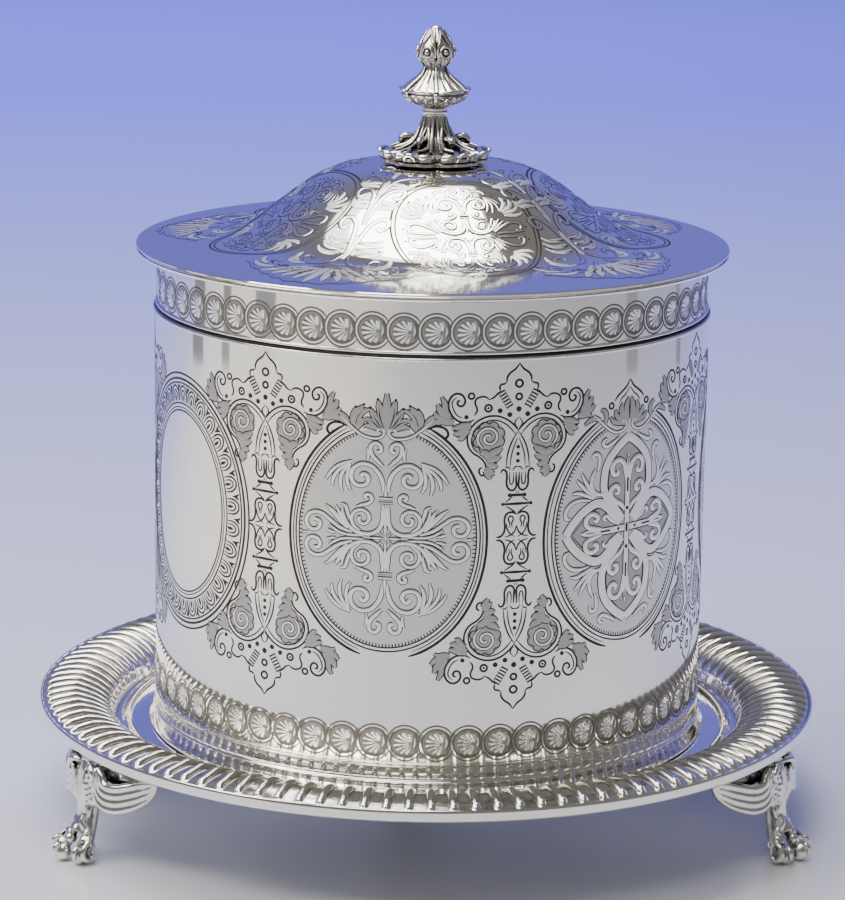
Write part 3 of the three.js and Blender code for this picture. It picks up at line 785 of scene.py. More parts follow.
def make_drum():
    wall = lathe("drum_wall_turned", softened(
        [(DRUM_INNER, 27.0), (DRUM_RADIUS, 27.0), (DRUM_RADIUS, MOUTH), (DRUM_INNER, MOUTH)],
        0.3), 256)
    ring = lathe("drum_foot_moulding", softened(
        [(DRUM_INNER, 25.7), (83.9, 25.7), (83.9, 26.4), (83.65, 26.9), (83.35, 27.9), (83.1, 28.9),
         (82.95, 29.9), (82.9, 30.6), (82.6, 30.9), (82.35, 31.1), (82.2, 31.7), (82.12, 33.2),
         (82.2, 34.8), (82.35, 35.5), (82.35, 35.9), (82.1, 36.1), (81.9, 36.1), (81.9, 26.7),
         (DRUM_INNER, 26.7)], 0.12), 224)
    floor = lathe("drum_floor", [(0.0, 29.1), (60, 29.1), (79.8, 29.1), (80.3, 29.0), (80.5, 28.8),
                                 (80.5, 27.9), (60, 27.9), (0.0, 27.9)], 128, closed=False)
    collar = lathe("drum_collar", softened(
        [(79.0, 146.6), (80.5, 146.6), (80.5, 152.55), (79.9, 152.65), (79.9, 156.6),
         (79.0, 156.6)], 0.25), 192)
    wire = lathe("drum_mouth_wire", softened(
        [(81.9, 151.2), (82.3, 151.25), (82.5, 151.5), (82.5, 151.95), (82.3, 152.2),
         (81.9, 152.25)], 0.15), 224)
    # a dark ring under the wire, at the mouth: painted shadow of the gap between drum and lid
    seam = lathe("drum_mouth_painted_gap_shadow", softened(
        [(81.0, 152.25), (82.15, 152.25), (82.15, 152.75), (81.0, 152.75)], 0.1, 2), 224)
    return wall, ring, floor, collar, wire, seam


def dome_outline():
    foot_slope = -(DOME_FOOT[1] - BRIM_TOP) / (BRIM_RADIUS - DOME_FOOT[0])
    crown = arch(CROWN, 0, SHOULDER, SHOULDER_SLOPE, 18)
    flare = arch(SHOULDER, SHOULDER_SLOPE, DOME_FOOT, foot_slope, 22)
    return crown + flare[1:]


def make_lid():
    top = [(STUD_HOLE, CROWN[1]), (10, CROWN[1]), *dome_outline(), (75, 172.15)]
    edge = [(86.2, 171.1), (86.7, 171.06), (87.2, 170.95), (BRIM_RADIUS, 170.7),
            (BRIM_RADIUS, 170.3), (87.2, 170.05)]
    under = [(r, z - LID_THICKNESS) for r, z in [(86.6, 171.07), (86.1, 171.12), *reversed(top)]]
    dome = lathe("lid_dome_raised", top + edge + under, 256)
    rim = lathe("lid_rim_roll", softened(
        [(85.8, 168.6), (86.9, 168.6), (BRIM_RADIUS, 169.1), (BRIM_RADIUS, 169.65),
         (85.8, 169.7)], 0.25), 224)
    skirt = lathe("lid_skirt_turned", softened(
        [(80.2, 152.9), (SKIRT_RADIUS, 152.9), (SKIRT_RADIUS, 170.2), (80.2, 170.2)], 0.25), 256)
    wire = lathe("lid_seam_roll", softened(
        [(81.1, 152.9), (81.6, 152.95), (81.9, 153.2), (81.9, 153.75), (81.6, 154.0),
         (81.1, 154.05)], 0.2), 224)
    return dome, rim, skirt, wire


def near(angle, middle, width):
    """One at the middle angle in each of the finial's parts, falling away over the width."""
    part = 360 / FINIAL_PARTS
    off = (angle - middle + part / 2) % part - part / 2
    return np.exp(-((off / width) ** 2))


def make_finial():
    """Baluster of six parts: rosette, stem with curled leaves, petalled knop, and bud with bosses."""
    levels = [  # height, radius, depth of the clefts, depth of the creases
        (0.0, 15.0, 0.1, 0.02), (0.4, 15.8, 0.12, 0.03), (1.2, 15.9, 0.14, 0.04),
        (1.5, 15.3, 0.14, 0.03), (1.8, 15.9, 0.16, 0.05), (2.7, 16.1, 0.2, 0.06),
        (3.3, 15.4, 0.22, 0.06), (3.7, 14.0, 0.22, 0.05), (4.1, 12.0, 0.2, 0.05),
        (4.5, 10.0, 0.18, 0.05), (5.1, 8.0, 0.15, 0.05), (6.4, 6.4, 0.12, 0.06),
        (8.4, 5.0, 0.1, 0.08), (10.6, 4.1, 0.08, 0.08), (12.6, 3.6, 0.05, 0.05),
        (13.6, 3.45, 0.0, 0.0), (14.0, 3.7, 0.0, 0.0), (14.9, 3.75, 0.0, 0.0), (15.2, 3.5, 0.0, 0.0),
        (15.9, 3.55, 0.0, 0.0), (16.3, 4.0, 0.03, 0.03), (17.4, 6.0, 0.06, 0.06),
        (18.4, 8.0, 0.07, 0.07), (19.3, 9.3, 0.06, 0.06), (20.0, 9.9, 0.04, 0.03),
        (20.5, 9.6, 0.03, 0.02), (20.8, 10.0, 0.03, 0.02), (21.4, 10.1, 0.04, 0.03),
        (21.9, 9.5, 0.05, 0.05), (22.5, 8.5, 0.06, 0.06), (23.2, 7.5, 0.06, 0.07),
        (24.4, 5.9, 0.06, 0.08), (25.6, 4.6, 0.06, 0.09), (26.9, 3.6, 0.05, 0.07),
        (28.0, 3.3, 0.02, 0.03), (28.7, 3.35, 0.05, 0.0), (29.4, 3.9, 0.12, 0.0),
        (30.2, 4.7, 0.2, 0.0), (31.2, 5.1, 0.22, 0.0), (32.6, 5.2, 0.2, 0.0), (34.0, 5.1, 0.17, 0.0),
        (34.9, 4.65, 0.14, 0.0), (36.6, 3.5, 0.12, 0.0), (38.4, 2.3, 0.1, 0.0),
        (39.3, 1.7, 0.05, 0.0), (39.75, 1.3, 0.0, 0.0), (39.95, 0.7, 0.0, 0.0), (39.98, 0.0, 0.0, 0.0),
    ]
    outline = [(0.0, FINIAL_SEAT)] + [(r, FINIAL_SEAT + h) for h, r, _, _ in levels]
    body = lathe("finial_body", outline, 144, closed=False)
    points = points_of(body) / MM
    angle = np.degrees(np.arctan2(points[:, 0], -points[:, 1]))
    heights, _, clefts, creases = np.array(levels).T
    above = points[:, 2] - FINIAL_SEAT
    cleft = np.interp(above, heights, clefts) * near(angle, 0, 5.5)
    crease = np.interp(above, heights, creases) * (near(angle, 20.5, 2.6) + near(angle, -20.5, 2.6))
    points[:, :2] *= (1 - cleft - crease)[:, None]
    set_points(body, points * MM)
    parts = [body]

    def bar(name, path, radii):
        """A bar through places given as degrees round, radius and height above the seat."""
        return rod(name, [(r * math.sin(math.radians(a)), -r * math.cos(math.radians(a)),
                           FINIAL_SEAT + h) for a, r, h in path], radii, 2)

    def around(make, *details, start=0):
        for i in range(FINIAL_PARTS):
            parts.append(turned_to(make(*details), start + 360 / FINIAL_PARTS * i))

    # rosette: the two rolled edges of each petal, and its tip
    around(bar, "petal_roll", [(4, 13.2, 2.6), (8, 14.9, 3.1), (15, 15.6, 3.3), (22, 15.3, 3.3)],
           [0.5, 0.85, 0.9, 0.5])
    around(bar, "petal_roll", [(38, 15.3, 3.3), (45, 15.6, 3.3), (52, 14.9, 3.1), (56, 13.2, 2.6)],
           [0.5, 0.9, 0.85, 0.5])
    around(bar, "petal_tip", [(23.5, 15.0, 1.6), (25, 15.9, 3.2), (30, 16.1, 3.8), (35, 15.9, 3.2),
                              (36.5, 15.0, 1.6)], [0.4, 0.6, 0.7, 0.6, 0.4])
    # stem: a pair of ridges up each part, and a leaf that curls over between them
    for lean in (-1, 1):
        around(bar, "stem_ridge", [
            (lean * 7, 12.4, 3.9), (lean * 9, 9.0, 4.9), (lean * 10, 6.7, 6.4),
            (lean * 10, 5.2, 8.6), (lean * 8, 4.1, 11.4), (lean * 7, 3.6, 13.2)],
            [0.55, 0.6, 0.6, 0.5, 0.4, 0.3])
        around(bar, "leaf_edge", [
            (30 + lean * 4, 4.4, 10.4), (30 + lean * 12, 5.9, 7.6), (30 + lean * 15, 8.0, 5.8),
            (30 + lean * 14, 10.6, 4.9), (30 + lean * 6, 12.6, 4.5)], [0.3, 0.5, 0.6, 0.6, 0.4])
    around(bar, "leaf_curl", [(30, 5.6, 6.2), (30, 7.2, 7.4), (30, 8.8, 7.5), (30, 9.7, 6.5),
                              (30, 9.0, 5.6), (30, 8.2, 6.1)], [0.9, 1.15, 1.1, 0.95, 0.75, 0.5])
    # knop: rib between the petals, the rolled rim, and a cup of small leaves below
    around(bar, "knop_rib", [(0, 9.9, 21.3), (0, 8.3, 22.7), (0, 6.0, 24.5), (0, 4.3, 26.2),
                             (0, 3.5, 28.0)], [0.75, 0.62, 0.55, 0.45, 0.3])
    around(bar, "knop_rim", [(4, 9.7, 21.0), (12, 10.0, 21.3), (30, 10.1, 21.5), (48, 10.0, 21.3),
                             (56, 9.7, 21.0)], [0.35, 0.5, 0.55, 0.5, 0.35])
    around(ball, "rim_knob", (0, -9.7, FINIAL_SEAT + 20.4), (1.1, 0.8, 0.9), 12, 8)
    for place in (0, 20, 40):
        around(bar, "cup_leaf", [(place, 4.3, 16.8), (place, 6.4, 17.9), (place, 8.3, 19.0),
                                 (place, 9.3, 19.9)], [0.35, 0.7, 0.85, 0.55])

    # bud: ringed bosses between pointed leaves
    def boss_ring():
        deselect()
        bpy.ops.mesh.primitive_torus_add(
            location=mm(0, -5.2, FINIAL_SEAT + 32.5), rotation=(math.pi / 2, 0, 0),
            major_segments=24, minor_segments=8, major_radius=1.55 * MM, minor_radius=0.42 * MM)
        bpy.ops.object.transform_apply(location=True, rotation=True, scale=True)
        return named("boss_ring")

    around(boss_ring, start=30)
    around(ball, "boss", (0, -5.1, FINIAL_SEAT + 32.5), (0.95, 1.15, 0.95), 12, 8, start=30)
    for lean in (-1, 1):
        around(bar, "bud_leaf", [
            (30 + lean * 25, 4.6, 31.0), (30 + lean * 25, 4.9, 33.4), (30 + lean * 20, 4.7, 35.0),
            (30 + lean * 10, 3.5, 36.9), (30, 2.3, 38.6)], [0.3, 0.45, 0.45, 0.4, 0.3])
    around(bar, "bud_stalk", [(30, 3.3, 28.3), (30, 4.2, 29.6), (30, 4.9, 30.9)], [0.5, 0.6, 0.5])
    parts.append(lathe("stud", [(0.0, 186.8), (1.7, 186.8), (2.0, 187.1), (2.0, 194.9),
                                (0.0, 194.9)], 24, closed=False))
    return smooth_shade(join("finial_cast", parts), 55)


def make_fittings():
    washer = lathe("finial_washer_turned", softened(
        [(STUD_HOLE, 192.0), (7.0, 192.0), (7.0, 193.0), (STUD_HOLE, 193.0)], 0.2), 48)
    nut = cylinder("finial_nut_hexagon", (0, 0, NUT_HEIGHT), NUT_ACROSS_FLATS / math.sqrt(3), 3.5, 6)
    open_mesh(nut)
    bpy.ops.mesh.bevel(offset=0.35 * MM, segments=2)
    close_mesh()
    bore = cylinder("bore", (0, 0, NUT_HEIGHT), STUD_HOLE, 8, 32)
    apply_modifier(nut, "BOOLEAN", object=bore, operation="DIFFERENCE")
    bpy.data.objects.remove(bore)
    return smooth_shade(washer), smooth_shade(nut, 25)


def strip_of_ring(name, outline, half_angle):
    """A closed outline swept part of the way round the axis, at the back of the drum."""
    piece = traced(name, outline, lambda radius, height: mm(0, radius, height))
    bpy.ops.mesh.edge_face_add()
    close_mesh()
    turned_to(piece, -half_angle)
    open_mesh(piece)
    bpy.ops.mesh.spin(steps=24, angle=math.radians(2 * half_angle), center=(0, 0, 0), axis=(0, 0, 1))
    close_mesh()
    weld(piece)
    return piece


def make_gusset(place, width, wall, low, high, side):
    """The web between a knuckle and its leaf, drawn in at the end away from the pin."""
    inner, outer = wall + 0.9, 84.6
    gusset = block("gusset", mm(place, (inner + outer) / 2, (low + high) / 2),
                   mm(width, outer - inner, high - low))
    open_mesh(gusset, "DESELECT")
    shape = bmesh.from_edit_mesh(gusset.data)
    for corner in shape.verts:
        if corner.co.y > 83 * MM and side * (corner.co.z / MM - HINGE_HEIGHT) > 3:
            corner.co.y = 83.3 * MM
    bmesh.update_edit_mesh(gusset.data)
    close_mesh()
    return apply_modifier(gusset, "BEVEL", width=0.3 * MM, segments=2)


def make_hinge():
    pitch = HINGE_WIDTH / KNUCKLES
    leaves = []
    for side, wall, first, name in ((-1, DRUM_RADIUS, 0, "hinge_leaf_drum"),
                                    (1, SKIRT_RADIUS, 1, "hinge_leaf_lid")):
        inner = wall + 0.3
        near_end = HINGE_HEIGHT + side * LEAF_GAP
        far_end = near_end + side * LEAF_HEIGHT
        low, high = sorted((HINGE_HEIGHT + side * 1.9, near_end + side * 2.6))
        plate = softened(
            [(inner, near_end), (inner + 1, near_end), (inner + 1, far_end), (inner, far_end)], 0.3)
        parts = [strip_of_ring("leaf", plate, math.degrees(HINGE_WIDTH / 2 / wall))]
        for i in range(first, KNUCKLES, 2):
            place = (i + 0.5) * pitch - HINGE_WIDTH / 2
            knuckle = cylinder("knuckle", (place, HINGE_REACH, HINGE_HEIGHT), KNUCKLE_RADIUS,
                               pitch - 0.3, 40, lying=True)
            apply_modifier(knuckle, "BEVEL", width=0.25 * MM, segments=2, limit_method="ANGLE")
            parts += [knuckle, make_gusset(place, pitch - 0.5, wall, low, high, side)]
        leaves.append(smooth_shade(join(name, parts)))
    pin = cylinder("hinge_pin_turned", (0, HINGE_REACH, HINGE_HEIGHT), PIN_RADIUS, HINGE_WIDTH + 1, 32,
                   lying=True)
    apply_modifier(pin, "BEVEL", width=0.25 * MM, segments=3, limit_method="ANGLE")
    return *leaves, smooth_shade(pin)


# Engraving, drawn flat


def stroke(width, *knots, ends=(0.5, 0.5), closed=False):
    """A cut line through knots, thinner at its ends."""
    widths = [width] * len(knots)
    if not closed:
        widths[0] *= ends[0]
        widths[-1] *= ends[1]
    return knots, widths, closed


def leaf_cut(width, *knots):
    """A cut that swells and ends in a point, as a leaf's lobe does."""
    shares = np.linspace(0, 1, len(knots))
    widths = [width * (0.2 + 0.8 * math.sin(math.pi * (0.15 + 0.8 * t))) for t in shares]
    widths[-1] = width * 0.12
    return knots, widths, False


def lobe(width, *knots):
    """A fat tapering lobe of a leaf."""
    shares = np.linspace(0, 1, len(knots))
    widths = [width * (0.45 + 0.75 * math.sin(math.pi * min(1, t * 0.9 + 0.1))) for t in shares]
    widths[-1] = width * 0.4
    return knots, widths, False


def ellipse(a, b, width, first=0.0, last=360.0, x=0.0, y=0.0, count=44):
    closed = last - first >= 360
    places = np.linspace(math.radians(first), math.radians(last), count + 1)
    knots = [(x + a * math.cos(t), y + b * math.sin(t)) for t in places]
    return stroke(width, *(knots[:-1] if closed else knots), closed=closed)


def scallop(x, y, radius, depth, lobes, width):
    """A closed line of round lobes about a point."""
    knots = []
    for i in range(lobes * 4):
        t = 2 * math.pi * i / (lobes * 4)
        reach = radius + depth * abs(math.sin(lobes * t / 2)) ** 0.7
        knots.append((x + reach * math.cos(t), y + reach * math.sin(t)))
    return stroke(width, *knots, closed=True)


def ring(x, y, radius, width):
    return ellipse(radius, radius, width, x=x, y=y, count=8)


def dot(x, y, radius):
    return ellipse(radius / 2, radius / 2, radius, x=x, y=y, count=6)


def spiral(x, y, outer, inner, turns, start, width):
    steps = int(turns * 7) + 1
    knots = []
    for i in range(steps + 1):
        share = i / steps
        angle = math.radians(start + 360 * turns * share)
        reach = outer + (inner - outer) * share
        knots.append((x + reach * math.cos(angle), y + reach * math.sin(angle)))
    return stroke(width, *knots)


def resized(strokes, scale):
    """Strokes at another size, with widths that change less than their lengths."""
    return [([(scale * u, scale * v) for u, v in knots], [w * scale**0.5 for w in widths], closed)
            for knots, widths, closed in strokes]


def widened(strokes, extra):
    return [(knots, [w + extra for w in widths], closed) for knots, widths, closed in strokes]


def draw(name, strokes, finish, flatness, lift, smoothness=4):
    """Turns strokes into one mesh of flattened bars lying on the XY plane."""
    flat = [([(*knot, 0) for knot in knots], widths, closed) for knots, widths, closed in strokes]
    drawn = piped(name, flat, MM / 2, 0, smoothness)
    points = points_of(drawn)
    points[:, 2] = points[:, 2] * flatness + lift * MM
    set_points(drawn, points)
    drawn.data.materials.append(finish)
    return drawn


def patch(name, outline, centre, finish, lift, cells):
    """A thin plate of ground inside an outline that its centre can see all of."""
    deselect()
    bpy.ops.mesh.primitive_grid_add(x_subdivisions=cells, y_subdivisions=cells, size=2)
    plate = named(name)
    points = points_of(plate)
    x, y = points[:, 0].copy(), points[:, 1].copy()
    u, v = x * np.sqrt(1 - y * y / 2), y * np.sqrt(1 - x * x / 2)
    rim = np.array(outline) - np.array(centre)
    angles = np.arctan2(rim[:, 1], rim[:, 0])
    order = np.argsort(angles)
    reach = np.interp(np.arctan2(v, u), angles[order], np.hypot(rim[:, 0], rim[:, 1])[order],
                      period=2 * math.pi)
    points[:, 0], points[:, 1] = centre[0] + u * reach, centre[1] + v * reach
    points[:, 2] = lift
    set_points(plate, points * MM)
    apply_modifier(plate, "SOLIDIFY", thickness=0.08 * MM, offset=-1)
    plate.data.materials.append(finish)
    return plate


def oval(a, b, count=64):
    return [(a * math.cos(t), b * math.sin(t)) for t in np.linspace(0, 2 * math.pi, count, False)]


def mirrored(piece, axes):
    """Axes is any of x and y; the copies face the same way as the piece."""
    if axes:
        apply_modifier(piece, "MIRROR", use_axis=("x" in axes, "y" in axes, False),
                       use_mirror_merge=False)
    return piece


def motif(name, finishes, parts, extras=(), smoothness=4):
    """Parts are (mirror axes, kind, strokes); KINDS says which layers each kind is made of."""
    made = list(extras)
    for axes, kind, strokes in parts:
        for finish, extra, flatness, lift in KINDS[kind]:
            drawn = draw(name, widened(strokes, extra), finishes[finish], flatness, lift, smoothness)
            made.append(mirrored(drawn, axes))
    return join(name, made)


def wrapped(flat, name, surface, centre):
    """A copy of a flat motif laid on a turned surface, centred on an angle in degrees."""
    copy = twin(flat, name)
    points = points_of(copy) / MM
    across, up, out = points.T
    radius, height, lean_out, lean_up = surface(up)
    angle = math.radians(centre) + across / radius
    radius, height = radius + out * lean_out, height + out * lean_up
    set_points(copy, np.stack([radius * np.sin(angle), -radius * np.cos(angle), height], 1) * MM)
    return smooth_shade(copy, 60)


def upright(radius, height):
    return lambda up: (np.full_like(up, radius), height + up, 1.0, 0.0)


# Drum ornament


def strap_motif(finishes):
    """Strapwork column between two ovals; one quarter is drawn."""
    rungs = []
    for share in np.linspace(0.05, 0.95, 6):
        x, y = 5.2 - 2.7 * share, 41.9 - 4.5 * share
        rungs.append(stroke(0.5, (x + 0.78, y - 0.46), (x, y), (x - 0.78, y + 0.46), ends=(1, 1)))
    lines = [
        stroke(0.6, (0, 49.6), (1.2, 48.0), (2.7, 46.9), (3.5, 45.7), (3.6, 44.4)),
        stroke(0.56, (3.6, 44.4), (4.4, 43.9), (5.3, 43.7), (5.6, 42.8), (5.3, 41.9)),
        stroke(0.56, (5.3, 41.9), (6.2, 41.2), (7.2, 40.2), (8.4, 39.6)),
        stroke(0.56, (8.4, 39.6), (9.6, 40.4), (11, 40.4), (12.3, 39.6), (12.4, 38.4), (11.9, 37.2),
               (12.0, 36.1), (12.7, 35.3)),
        ring(13.5, 40.7, 0.8, 0.6),
        stroke(0.62, (12.6, 34.1), (14.6, 33.3), (17, 33.7), (19, 35.6), (19.8, 38.4), (18.7, 40.9),
               (17, 41.4), (15.5, 40.3), (15.3, 38.9), (16.1, 37.9), (17.2, 38.3), (17.2, 39.3),
               (16.5, 39.4)),
        stroke(0.42, (15.8, 34.5), (17.3, 35.3), (18.5, 37.2), (18.7, 39.2), (17.6, 40.4)),
        dot(14.8, 34.8, 0.62),
        dot(2.6, 35.2, 0.72), dot(5.4, 36.4, 0.72), ring(8.7, 37.2, 0.95, 0.62), dot(8.7, 37.2, 0.36),
        *rungs,
        stroke(0.36, (6.2, 41.5), (3.3, 36.7)), stroke(0.36, (4.4, 42.5), (1.6, 37.8)),
        stroke(0.46, (0.1, 34.4), (1.1, 32.8), (0.1, 31.2)),
        stroke(0.56, (0, 30.6), (1.6, 32.5), (4, 34.2), (7, 35.0), (10.2, 34.4), (12.8, 32.6),
               (14.2, 30.2), (14.4, 27.6), (13.2, 25), (10.8, 23.3), (9.5, 21.8), (9.1, 19.9),
               (9.2, 18.7), (10.0, 18.2), (10.9, 18.8), (10.8, 20.2), (10.1, 20.4)),
        stroke(0.42, (0.7, 29.4), (2.3, 31.4), (4.6, 33.1), (7, 33.8), (9.7, 33.2), (11.9, 31.6),
               (13.1, 29.4), (13.2, 27.3), (12, 25.2), (10.2, 24.2)),
        scallop(8.4, 28.9, 3.9, 0.75, 8, 0.36),
        stroke(0.5, (0.1, 30.4), (1.8, 27.6), (2.9, 24.4), (3.4, 20.5)),
        stroke(0.4, (0.2, 28.6), (1.1, 26.4), (1.9, 23.6), (2.2, 20.5)),
        stroke(0.62, (4.9, 18.7), (4.3, 19.6), (3.5, 19.3), (3.1, 18.0), (3.1, 15.3), (2.4, 14.0),
               (1.3, 13.7), (0.45, 14.5), (0.4, 16.6), (0.45, 18.8)),
        stroke(0.42, (1.25, 18.8), (1.2, 16.6), (1.75, 15.4), (2.3, 16.6), (2.3, 18.9)),
        stroke(0.46, (0, 20.4), (0.9, 20.2), (1.4, 19.3)),
        stroke(0.46, (2.1, 19.5), (2.8, 20.3), (3.7, 20.1)),
        stroke(0.8, (0, 12.3), (1.9, 12.3), ends=(1, 1)), dot(2.2, 12.3, 0.55),
        stroke(0.8, (0, 9.8), (3.9, 9.8), ends=(1, 0.7)), dot(4.1, 9.8, 0.5),
        stroke(0.5, (1.5, 11.9), (2.2, 11.2), (3.4, 10.3)),
        stroke(0.46, (3.4, 9.3), (1.9, 8.4), (0.8, 7.6), (0.1, 6.8)),
        stroke(0.5, (0.2, 13.6), (0.4, 12.9)),
        stroke(0.62, (0.1, 6.8), (1.4, 7.4), (2.8, 7.1), (3.5, 5.8), (3.4, 3.0), (3.9, 1.3),
               (4.9, 0.5), (5.9, 0.5)),
        stroke(0.44, (1.3, 3.0), (1.4, 4.4), (1.0, 5.4), (1.5, 6.3), (2.3, 6.0), (2.4, 5.2),
               (2.0, 4.4), (2.1, 3.0)),
        stroke(0.46, (2.9, 4.4), (2.7, 2.6), (1.9, 1.4), (0.5, 0.4)),
        stroke(0.5, (0, 3.6), (0.6, 1.9), (1.7, 0.9), (3.4, 0.4)),
    ]
    middle = [ring(0, 43.9, 1.0, 0.66), ring(0, 40.2, 0.85, 0.66), dot(0, 36.7, 0.78),
              dot(0, 26, 0.55), dot(0, 24, 0.55), dot(0, 22, 0.55)]
    leaves = [
        lobe(1.3, (19.4, 35.0), (20.6, 36.6), (20.8, 38.6), (21.8, 40.6)),
        lobe(1.5, (19.2, 34.4), (21.0, 35.6), (22.2, 37.0), (22.8, 38.6)),
        lobe(1.4, (18.6, 33.6), (20.6, 34.2), (22.4, 34.8), (23.8, 36.2)),
        lobe(1.1, (18.2, 33.2), (20.0, 33.2), (21.6, 33.4), (22.8, 32.8)),
        lobe(1.3, (13.4, 32.8), (15.4, 32.6), (17.2, 31.9), (18.8, 31.6)),
        lobe(1.4, (13.6, 32.0), (15.6, 31.2), (17.2, 30.2), (18.4, 30.4)),
        lobe(1.3, (14.0, 31.0), (15.3, 30.0), (16.2, 28.9), (17.2, 28.8)),
        lobe(1.6, (8.6, 23.6), (7.2, 24.6), (5.8, 25.2), (4.7, 26.2)),
        lobe(1.6, (9.0, 22.8), (7.6, 22.8), (6.2, 23.0), (5.0, 23.8)),
        lobe(1.5, (9.0, 21.6), (7.8, 21.2), (6.8, 20.8), (5.8, 21.2)),
        lobe(1.3, (9.2, 20.4), (8.2, 19.6), (7.4, 18.8), (6.5, 18.8)),
        lobe(1.2, (9.4, 19.6), (8.8, 18.6), (8.2, 17.8), (7.8, 17.0)),
        lobe(1.7, (10.6, 24.8), (9.4, 24.4), (8.4, 23.4), (8.4, 22.0)),
    ]
    scroll = patch("scroll_ground", [(8.5 + 4.9 * math.cos(t), 28.9 + 4.7 * math.sin(t))
                                     for t in np.linspace(0, 2 * math.pi, 24, False)],
                   (8.5, 28.9), finishes["shaded"], 0.02, 6)
    return motif("strap", finishes, [
        ("xy", "leaf", leaves),
        ("xy", "cut", lines),
        ("xy", "raised", [spiral(8.4, 28.9, 3.5, 0.4, 1.6, -60, 0.62)]),
        ("y", "cut", middle),
    ], [mirrored(scroll, "xy")])


def foliate_scrolls():
    """One quarter of the scrolling foliage, as raised stems and leaves."""
    stems = [
        stroke(1.15, (0.75, 9.4), (0.75, 6.5), (1.1, 3.9), (3.0, 1.7), (6.6, 1.2), (9.8, 2.5),
               (11.8, 5.2), (12.4, 8.0), ends=(0.5, 0.4)),
        spiral(6.6, 5.4, 3.5, 0.5, 1.4, -80, 0.95),
        stroke(0.9, (12.8, 9.2), (11.5, 8.8), (10.9, 7.2), (10.3, 5.2), ends=(0.4, 0.8)),
        stroke(0.9, (14.4, 8.6), (13.3, 6.9), (12.4, 5.0), (10.6, 3.0), ends=(0.4, 0.8)),
        stroke(0.9, (16.2, 7.4), (14.4, 5.8), (12.8, 4.1), (10.8, 2.4), ends=(0.4, 0.8)),
        stroke(1.15, (0.7, 13.4), (1.1, 16.6), (2.8, 19.5), (5.4, 21.0), (8.3, 20.4), (9.8, 18.0),
               (9.1, 15.5), (7.0, 14.8), (5.2, 15.8), (5.1, 17.5), (6.3, 18.2), (7.1, 17.3),
               ends=(0.5, 1)),
        stroke(0.9, (10.2, 20.6), (11.0, 17.6), (10.8, 15.0), (9.8, 13.0), ends=(0.7, 0.4)),
        stroke(0.95, (10.3, 20.8), (12.4, 18.0), (13.0, 15.0), (12.4, 12.4), ends=(0.7, 0.4)),
        stroke(0.95, (10.0, 21.2), (13.2, 19.0), (15.0, 16.4), (15.4, 13.8), ends=(0.7, 0.4)),
        stroke(0.9, (9.6, 21.6), (13.4, 20.2), (15.8, 18.0), (17.4, 15.6), ends=(0.7, 0.4)),
        stroke(1.05, (0.7, 20.4), (2.4, 22.0), (4.1, 24.0), (4.3, 26.2), (3.0, 27.1), (1.6, 26.2),
               (1.6, 24.8), (2.5, 24.5), ends=(0.5, 1)),
        stroke(0.8, (5.2, 22.0), (5.0, 24.0), (5.6, 25.6), ends=(0.6, 0.4)),
        stroke(1.0, (5.3, 11.0), (5.8, 11.8), (5.2, 12.4), (4.2, 12.0), (3.9, 10.9), (4.8, 9.9),
               (6.6, 9.3), (8.4, 8.6), ends=(1, 0.4)),
        stroke(1.05, (9.6, 1.3), (13.0, 2.4), (16.0, 4.4), (18.8, 6.1), (21.6, 5.8), (23.1, 3.9),
               (22.5, 1.8), (20.7, 1.1), (19.1, 2.1), (19.2, 3.7), (20.6, 4.1), ends=(0.6, 1)),
        stroke(0.9, (11.0, 2.6), (13.0, 4.9), (15.4, 7.2), (17.6, 8.6), ends=(0.7, 0.4)),
        stroke(0.75, (6.2, 0.5), (9.0, 0.5), (12.4, 0.8), (14.8, 1.9), (16.2, 3.0), ends=(0.5, 0.4)),
        stroke(0.8, (14.0, 0.7), (15.4, 0.9), (16.8, 1.4), ends=(0.4, 0.9)),
        stroke(0.8, (0.9, 0.8), (2.2, 2.0), ends=(0.4, 0.4)),
    ]
    bars = [stroke(0.66, (0, 11.4), (2.0, 11.4), ends=(1, 0.9)), stroke(0.66, (0, 10.1), (2.0, 10.1))]
    return stems, bars


